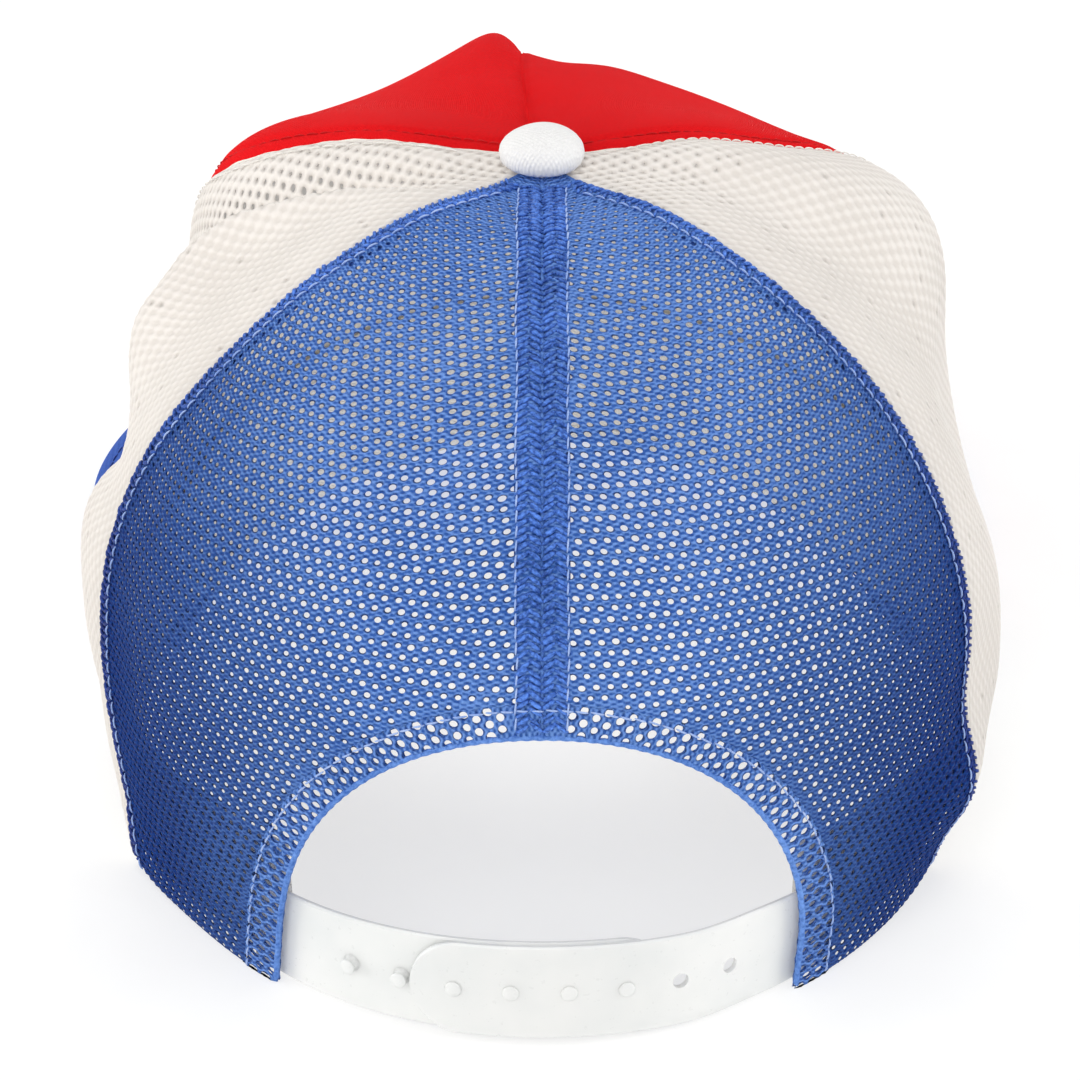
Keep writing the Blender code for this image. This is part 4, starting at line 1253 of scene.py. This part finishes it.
def strap_body(tip, tab, depth_at):
    """A flat strap with rounded edges from its round tip to its tab."""
    way = math.copysign(1.0, tip - tab)
    half = STRAP_WIDTH / 2
    bevel = 0.42
    nose = half * (1.0 - np.cos(np.radians(np.linspace(3.0, 90.0, 20))))
    line = np.concatenate([tip - way * nose, np.linspace(tip - way * half, tab, 70)[1:]])
    from_tip = np.minimum(half, np.abs(tip - line))
    tall = np.sqrt(np.maximum(0.0, half * half - (half - from_tip) ** 2))
    # Cross-section: share of the half width, 1 on the rounded edge, share of the thickness
    flat = np.linspace(-1.0, 1.0, 15)
    section = [(v, 0.0, 0.0) for v in flat] + [(1.0, 1.0, 0.25), (1.0, 1.0, 0.75)]
    section += [(v, 0.0, 1.0) for v in flat[::-1]] + [(-1.0, 1.0, 0.75), (-1.0, 1.0, 0.25)]
    v, edge, deep = np.array(section).T
    heights = strap_middle(line)[:, None] + v * np.maximum(
        0.0, tall[:, None] - bevel * (1.0 - edge))
    depths = depth_at(line)[:, None] + deep * STRAP_THICKNESS
    angles = angle_at_arc(line)[:, None]
    build = Build()
    build.grid(place(crown(angles, share_above_hem(angles, heights), depths)), closed=True,
               caps=-1)
    return build


def snap_frame(arc, depth):
    """A snap's centre at a depth, the normal outwards and two axes along the strap there."""
    angle = angle_at_arc(arc)
    share = share_above_hem(angle, strap_middle(arc))
    normal = outward(np.array([angle]), np.array([share]))[0]
    side = unit(place(crown(angle + 1.0, share)) - place(crown(angle - 1.0, share)))
    return place(crown(angle, share, depth)), normal, side, np.cross(side, normal)


def lathe(build, centre, axis, side, up, profile):
    """A turned form from (radius, height) rows in millimetres, closed at both ends."""
    out = spokes(circle(28), side, up)
    build.grid(np.array([centre + axis * h * MM + out * r * MM for r, h in profile]),
               closed=True, caps=1)


def punch(piece, cutters):
    """Cuts the joined cutters out of a piece and removes them."""
    cutter = cutters.make("punch", [STRAP_PLASTIC])
    tidy_normals(cutter)
    boolean = piece.modifiers.new("punch", "BOOLEAN")
    boolean.operation = "DIFFERENCE"
    boolean.object = cutter
    boolean.solver = "EXACT"
    bpy.context.view_layer.update()
    graph = bpy.context.evaluated_depsgraph_get()
    cut = bpy.data.meshes.new_from_object(piece.evaluated_get(graph))
    piece.modifiers.clear()
    piece.data = cut
    bpy.data.objects.remove(cutter, do_unlink=True)


def join(first, second):
    """Adds the second piece's mesh to the first's and removes the second."""
    bm = bmesh.new()
    bm.from_mesh(first.data)
    bm.from_mesh(second.data)
    bm.to_mesh(first.data)
    bm.free()
    bpy.data.objects.remove(second, do_unlink=True)


def peg_profile():
    """Radius and height rows of a peg: a wide foot, a stem and a rounded head."""
    root = 0.3             # how far its foot starts inside the strap
    tall = STRAP_INNER_DEPTH + root - (STRAP_OUTER_DEPTH - PEG_PROUD)
    foot = [(1.5, 0.0), (1.4, 0.30), (1.12, 0.42), (1.0, 0.6), (1.0, tall - 0.46)]
    head = [(1.30, -0.42), (1.55, -0.36), (1.60, -0.26), (1.52, -0.10), (1.32, 0.03),
            (1.02, 0.12), (0.62, 0.18), (0.10, 0.2)]
    return root, [(PEG_RADIUS * r, h) for r, h in foot] + [(r, tall + h) for r, h in head]


def make_straps():
    snaps = [SNAP_OFFSET + SNAP_PITCH * k for k in (1, 0, -1, -2)]
    pegs = [snaps[0] + 2 * SNAP_PITCH, snaps[0] + SNAP_PITCH] + snaps
    holes = snaps + [snaps[-1] - SNAP_PITCH, snaps[-1] - 2 * SNAP_PITCH]

    def inner_depth(arc):
        return np.full(np.shape(arc), STRAP_INNER_DEPTH)

    inner = strap_body(pegs[-1] - SNAP_EDGE, STRAP_TAB, inner_depth).make(
        "strap_with_pegs", [STRAP_PLASTIC])
    tidy_normals(inner)
    knobs = Build()
    root, profile = peg_profile()
    for arc in pegs:
        lathe(knobs, *snap_frame(arc, STRAP_INNER_DEPTH + root), profile)
    knobs = knobs.make("pegs", [STRAP_PLASTIC])
    tidy_normals(knobs, 60.0)
    join(inner, knobs)
    finish_piece(inner, "white_plastic", "strap_pegs")

    clear = -(abs(pegs[-1]) + SNAP_EDGE + STRAP_STEP)
    settled = -(ARCH_HALF_WIDTH - STRAP_SETTLE)

    def outer_depth(arc):
        sink = smoothstep((clear - arc) / (clear - settled))
        return STRAP_OUTER_DEPTH + (STRAP_INNER_DEPTH - STRAP_OUTER_DEPTH) * sink

    outer = strap_body(holes[0] + SNAP_EDGE, -STRAP_TAB, outer_depth).make(
        "strap_with_holes", [STRAP_PLASTIC])
    tidy_normals(outer)
    past = 1.2             # how far a cutter goes past both faces of the strap
    cutters = Build()
    for arc in holes:
        face, normal, side, up = snap_frame(arc, float(outer_depth(arc)))
        radius = HOLE_STRETCHED if arc in snaps else HOLE_RADIUS
        lathe(cutters, face - normal * (STRAP_THICKNESS + past) * MM, normal, side, up,
              [(radius, 0.0), (radius, STRAP_THICKNESS + 2 * past)])
    punch(outer, cutters)
    tidy_normals(outer)
    finish_piece(outer, "white_plastic", "strap_holes")


# Brim

def level(spot):
    """The crown's frame tilted as it stands, still in millimetres."""
    return (place(spot) - ORIGIN) / MM


def brim_edges(w):
    """Inner and outer edge of the brim's top: w is 0 at the front and 1 or -1 at a corner."""
    angle = 180.0 - w * (180.0 - BRIM_CORNER)
    inner = level(crown(angle, HEM_SHARE, BRIM_INSET))
    inner[2] = level(crown(angle, HEM_SHARE))[2] - FIT_GAP
    side = math.copysign(1.0, w)
    corner = level(crown(side * BRIM_CORNER, HEM_SHARE))
    side_top = BRIM_SIDE_TOP - FLOOR_DROP
    if abs(w) <= BRIM_WIDEST_AT:
        turn = math.radians(90.0 * abs(w) / BRIM_WIDEST_AT)
        x = side * BRIM_HALF_WIDTH * math.sin(turn) ** (2.0 / BRIM_FULLNESS)
        y = BRIM_WIDEST_Y - BRIM_LENGTH * max(0.0, math.cos(turn)) ** (2.0 / BRIM_FULLNESS)
        z = side_top + BRIM_FRONT_RISE * (1.0 - (x / BRIM_HALF_WIDTH) ** 2)
        return inner, np.array([x + BRIM_SHIFT, y, z])
    t = (abs(w) - BRIM_WIDEST_AT) / (1.0 - BRIM_WIDEST_AT)
    wide = np.array([side * BRIM_HALF_WIDTH + BRIM_SHIFT, BRIM_WIDEST_Y, side_top])
    end = corner + (side * BRIM_CORNER_WIDTH, -BRIM_CORNER_SETBACK, -FIT_GAP - BRIM_CORNER_DROP)
    swept = BRIM_SWEEP * t + (1.0 - BRIM_SWEEP) * t * t
    return inner, wide + (end - wide) * (t * t, swept, t * t)


def make_brim():
    even = np.linspace(-1.0, 1.0, 181)
    ws = 0.35 * np.sin(np.pi / 2 * even) + 0.65 * even
    inner, outer = np.array([brim_edges(w) for w in ws]).transpose(1, 0, 2)
    span = np.linalg.norm(outer - inner, axis=1)[:, None]
    # Rows from the outer edge, squeezed where the brim is narrow, and then on to the hem
    fine = np.concatenate([np.linspace(0.0, 3.0, 7)[:-1], np.arange(3.0, 40.0, 0.75)])
    most = np.minimum(39.5, span * 0.75)
    tail = np.linspace(0.0, 1.0, 14)[1:]
    reach = np.concatenate([fine / fine[-1] * most, np.repeat(most, len(tail), axis=1)], axis=1)
    share = np.broadcast_to(np.concatenate([np.zeros(len(fine)), tail]), reach.shape)
    v = (1.0 - reach / span) * (1.0 - share)
    top = inner[:, None] + (outer - inner)[:, None] * v[..., None]
    top[..., 2] += BRIM_CROWNING * np.sin(np.pi * v) * (1.0 - np.abs(ws))[:, None]
    normal = np.cross(np.gradient(top, axis=0), np.gradient(top, axis=1))
    normal /= np.maximum(1e-9, np.linalg.norm(normal, axis=-1, keepdims=True))
    normal *= np.sign(np.sum(normal[..., 2]))
    grooves = np.zeros_like(reach)
    for row in BRIM_ROWS:
        grooves += np.exp(-((reach - row) / 0.8) ** 2) * (row < most - 1.0)
    grooves *= share == 0
    rounding = 1.0 - np.sqrt(1.0 - (1.0 - np.clip(reach / BRIM_ROUNDING, 0.0, 1.0)) ** 2)
    rounding = np.where(share > 0, 0.0, rounding)
    half = BRIM_THICKNESS / 2
    puff = 0.12 - 0.28 * grooves

    def side(thick):
        return top - normal * half + normal * (thick * (1.0 - rounding))[..., None]

    upper, lower = side(half + puff), side(-half - puff * 0.5)
    lower[..., 2] = np.maximum(lower[..., 2], LEAST_HEIGHT - ORIGIN[2] / MM)
    upper, lower = upper * MM + ORIGIN, lower * MM + ORIGIN
    uv = top[..., :2] * MM
    build = Build()
    build.grid(np.concatenate([upper[:, ::-1], lower[:, 1:]], axis=1), 0,
               np.concatenate([uv[:, ::-1], uv[:, 1:]], axis=1), closed=True, caps=1)

    thread = {"length": 2.5, "gap": 0.5, "thick": 0.17, "lift": 0.05, "look": 1, "sides": 4}
    for row in BRIM_ROWS:
        path, lift = [], []
        for k in np.where(most[:, 0] > row + 2.0)[0]:
            at = np.interp(row, reach[k, :len(fine)], np.arange(len(fine)))
            i, f = int(at), at - int(at)
            path.append((1 - f) * upper[k, i] + f * upper[k, i + 1])
            lift.append(normal[k, i])
        path, lift = np.array(path), np.array(lift)
        stitches(build, path, lift, **thread)
        stitches(build, path - lift * (BRIM_THICKNESS - 0.1) * MM, -lift, **thread)
    piece = build.make("brim_cloth", [BRIM_CLOTH, BLUE_THREAD])
    tidy_normals(piece, 70.0)
    finish_piece(piece, "blue_cloth", "brim")


# Button

def make_button():
    tilt = math.radians(REST_TILT - BUTTON_LEAN)
    centre = place((0.0, 0.0, CROWN_HEIGHT - TOP_DIP / 2 + FIT_GAP))
    axis = np.array([0.0, -math.sin(tilt), math.cos(tilt)])
    side = np.array([1.0, 0.0, 0.0])
    up = np.cross(axis, side)
    turns = circle(96)
    shank = 3.0
    profile = [(BUTTON_RADIUS * math.sin(t), BUTTON_HEIGHT * (0.28 + 0.72 * math.cos(t)))
               for t in np.radians(np.linspace(1.0, 90.0, 30))]
    profile += [(BUTTON_RADIUS - inset, height) for inset, height in
                ((0.0, 1.4), (0.08, 0.9), (0.3, 0.45), (0.7, 0.12), (1.3, 0.0))]
    profile += [(shank, 0.0), (shank, -2.4), (0.2, -2.5)]
    rows = []
    for r, h in profile:
        # Gathers of the cloth at the rim, and a form that isn't quite round
        rim = smoothstep((r - 5.2) / 3.0) * (h > 0)
        gather = 0.03 * np.sin(turns * 23 + 1.5 * np.sin(turns * 3)) * rim
        gather = gather + 0.10 * np.sin(turns * 3 + 0.8) * smoothstep(r / BUTTON_RADIUS)
        radius = r + gather * (r > shank + 0.1)
        height = h + 0.06 * np.sin(turns * 2 + r) * (h > 1.0)
        rows.append(centre + spokes(turns, side, up) * radius[:, None] * MM
                    + axis * height[:, None] * MM)
    rows = np.array(rows)
    build = Build()
    build.grid(rows, 0, (rows - centre) @ np.stack([side, up], axis=-1), closed=True, caps=1)
    piece = build.make("button_cover", [BUTTON_CLOTH])
    tidy_normals(piece, 50.0)
    finish_piece(piece, "cream_cloth", "button")


# Seam stitching

def make_seam_stitching():
    """Pale thread beside the blue seams, along the tape and round the opening, the knitted
    loops over the seams and tape, and cream thread beside the front seams."""
    build = Build()
    for seam, side in (("rear_left", -1), ("rear_right", 1)):
        shares = np.linspace(0.077, CLOTH_END - 0.0045, 260)
        stitch_line(build, beside(seam, shares, side * 4.1), shares, thick=0.19, lift=0.12)
    crest = float(surface_at(0.0, ARCH_SPRING + ARCH_RISE + 0.8)[1])
    for side in (-1, 1):
        shares = np.linspace(0.056, crest, 160)
        radius = radius_at(0.0, shares)
        away = np.minimum(4.7, radius * 0.48) + 0.12 * np.sin(shares * 47.0 + side)
        stitch_line(build, np.degrees(side * away / radius), shares, thick=0.19, lift=0.12)
    angle, share = arch_surface(np.linspace(2.0, ARCH_RUN[-1] - 2.0, 300), FACING_WIDTH - 0.7)
    stitch_line(build, angle, np.minimum(share, CLOTH_END - 0.0035), thick=0.2, lift=0.14)
    knit_rows(build, "rear", (-3.6, -1.25, 1.25, 3.6), 0.052, crest - 0.005, thick=0.43)
    for seam, side in (("rear_left", -1), ("rear_right", 1)):
        knit_rows(build, seam, (side * 1.0, side * 3.0), 0.054, CLOTH_END - 0.0135, pitch=1.4,
                  reach=1.05, lean=0.6)
    finish_piece(build.make("topstitching_blue", [PALE_THREAD, BLUE_THREAD]), "blue_mesh")

    build = Build()
    for seam, side in (("front_left", -1), ("front_right", 1)):
        shares = np.linspace(0.09, CLOTH_END - 0.0085, 260)
        stitch_line(build, beside(seam, shares, side * 3.4), shares, thick=0.16, lift=0.08)
    finish_piece(build.make("topstitching_cream", [CREAM_THREAD]), "cream_mesh")


# Stage, light and camera

def make_stage():
    look = Look("studio_floor")
    paper = look.noise(60.0, 4.0)
    look.link(look.ramp(paper, (0.38, 0.38, 0.375), (0.40, 0.40, 0.395)),
              look.shader.inputs["Base Color"])
    fill(look.shader, {"Roughness": 0.85, "Specular IOR Level": 0.2,
                       "Emission Color": (1.0, 1.0, 1.0, 1.0), "Emission Strength": 0.62})
    mesh = bpy.data.meshes.new("studio_floor")
    mesh.from_pydata([(-4, -4, 0), (4, -4, 0), (4, 4, 0), (-4, 4, 0)], [], [(0, 1, 2, 3)])
    mesh.materials.append(look.made)
    add_object("studio_floor", mesh)

    world = bpy.data.worlds.new("studio")
    bpy.context.scene.world = world
    world.use_nodes = True
    fill(world.node_tree.nodes["Background"], {"Color": (0.97, 0.98, 1.0, 1.0), "Strength": 0.5})


LAMPS = [
    # name, place, size, watts, colour
    ("key", (0.7, 1.5, 1.3), 1.2, 11.0, (1.0, 0.985, 0.96)),
    ("top", (0.0, -0.2, 1.9), 1.6, 11.0, (1.0, 1.0, 1.0)),
    ("back", (-0.4, 1.5, 0.9), 1.2, 4.0, (1.0, 0.99, 0.98)),
    ("low_left", (1.5, 0.1, 0.45), 1.0, 8.0, (1.0, 0.99, 0.97)),
    ("low_right", (-1.5, 0.1, 0.45), 1.0, 8.0, (0.98, 0.99, 1.0)),
    ("front", (0.1, -1.7, 0.4), 1.2, 6.0, (1.0, 0.99, 0.98)),
]


def add_lamp(name, kind, spot, goal, watts):
    light = bpy.data.lights.new(name, kind)
    light.energy = watts
    lamp = add_object(name, light)
    lamp.location = spot
    lamp.rotation_euler = (Vector(goal) - Vector(spot)).to_track_quat("-Z", "Y").to_euler()
    return lamp


def make_lamps():
    """Large soft lamps round the cap, and a small one in the middle of the crown, which
    lifts the shade low inside the front."""
    for name, spot, size, watts, colour in LAMPS:
        light = add_lamp(name, "AREA", spot, (0.0, 0.02, 0.06), watts).data
        light.shape = "DISK"
        light.size = size
        light.color = colour
    lamp = add_lamp("inside", "SPOT", place((0.0, 25.0, 62.0)), place((0.0, -85.0, 15.0)), 0.14)
    lamp.visible_camera = False
    lamp.data.shadow_soft_size = 0.03
    lamp.data.spot_size = math.radians(120.0)
    lamp.data.spot_blend = 1.0


PHOTO_FOCAL = 2400.0           # focal length in pixels of the 1080 pixel photograph
PHOTO_MIDDLE = 540.0
PHOTO_PITCH = 36.7             # how far the photograph's camera looks down
CAMERA_AT = (-0.0021, 0.9383, 0.5627)
FRAME_MIDDLE = 240.0           # height in the photograph of the square that the frame shows
FRAME_WIDTH = 500.0
SENSOR_WIDTH = 36.0


def make_camera():
    """The photograph's camera, turned up to the cap. A photograph shows what is off its axis
    larger, by 1 / cos(turn) across and by the square of that upwards. The lens makes up for
    the mean of the two."""
    camera = bpy.data.cameras.new("camera")
    turn = math.atan((PHOTO_MIDDLE - FRAME_MIDDLE) / PHOTO_FOCAL)
    larger = 1.0 / math.cos(turn) ** 1.5
    camera.sensor_width = SENSOR_WIDTH
    camera.lens = SENSOR_WIDTH * PHOTO_FOCAL * larger / FRAME_WIDTH
    camera.clip_end = 20.0
    seen = add_object("camera", camera)
    seen.location = CAMERA_AT
    seen.rotation_euler = (math.radians(90.0 - PHOTO_PITCH) + turn, 0.0, math.pi)
    bpy.context.scene.camera = seen


bpy.context.scene.view_settings.view_transform = "Standard"
make_camera()
make_stage()
make_lamps()
make_net_panels()
make_front("front_panel_left", "front_left", "front")
make_front("front_panel_right", "front_again", "front_right")
make_facing()
make_tape()
make_sweatband()
make_straps()
make_brim()
make_button()
make_seam_stitching()
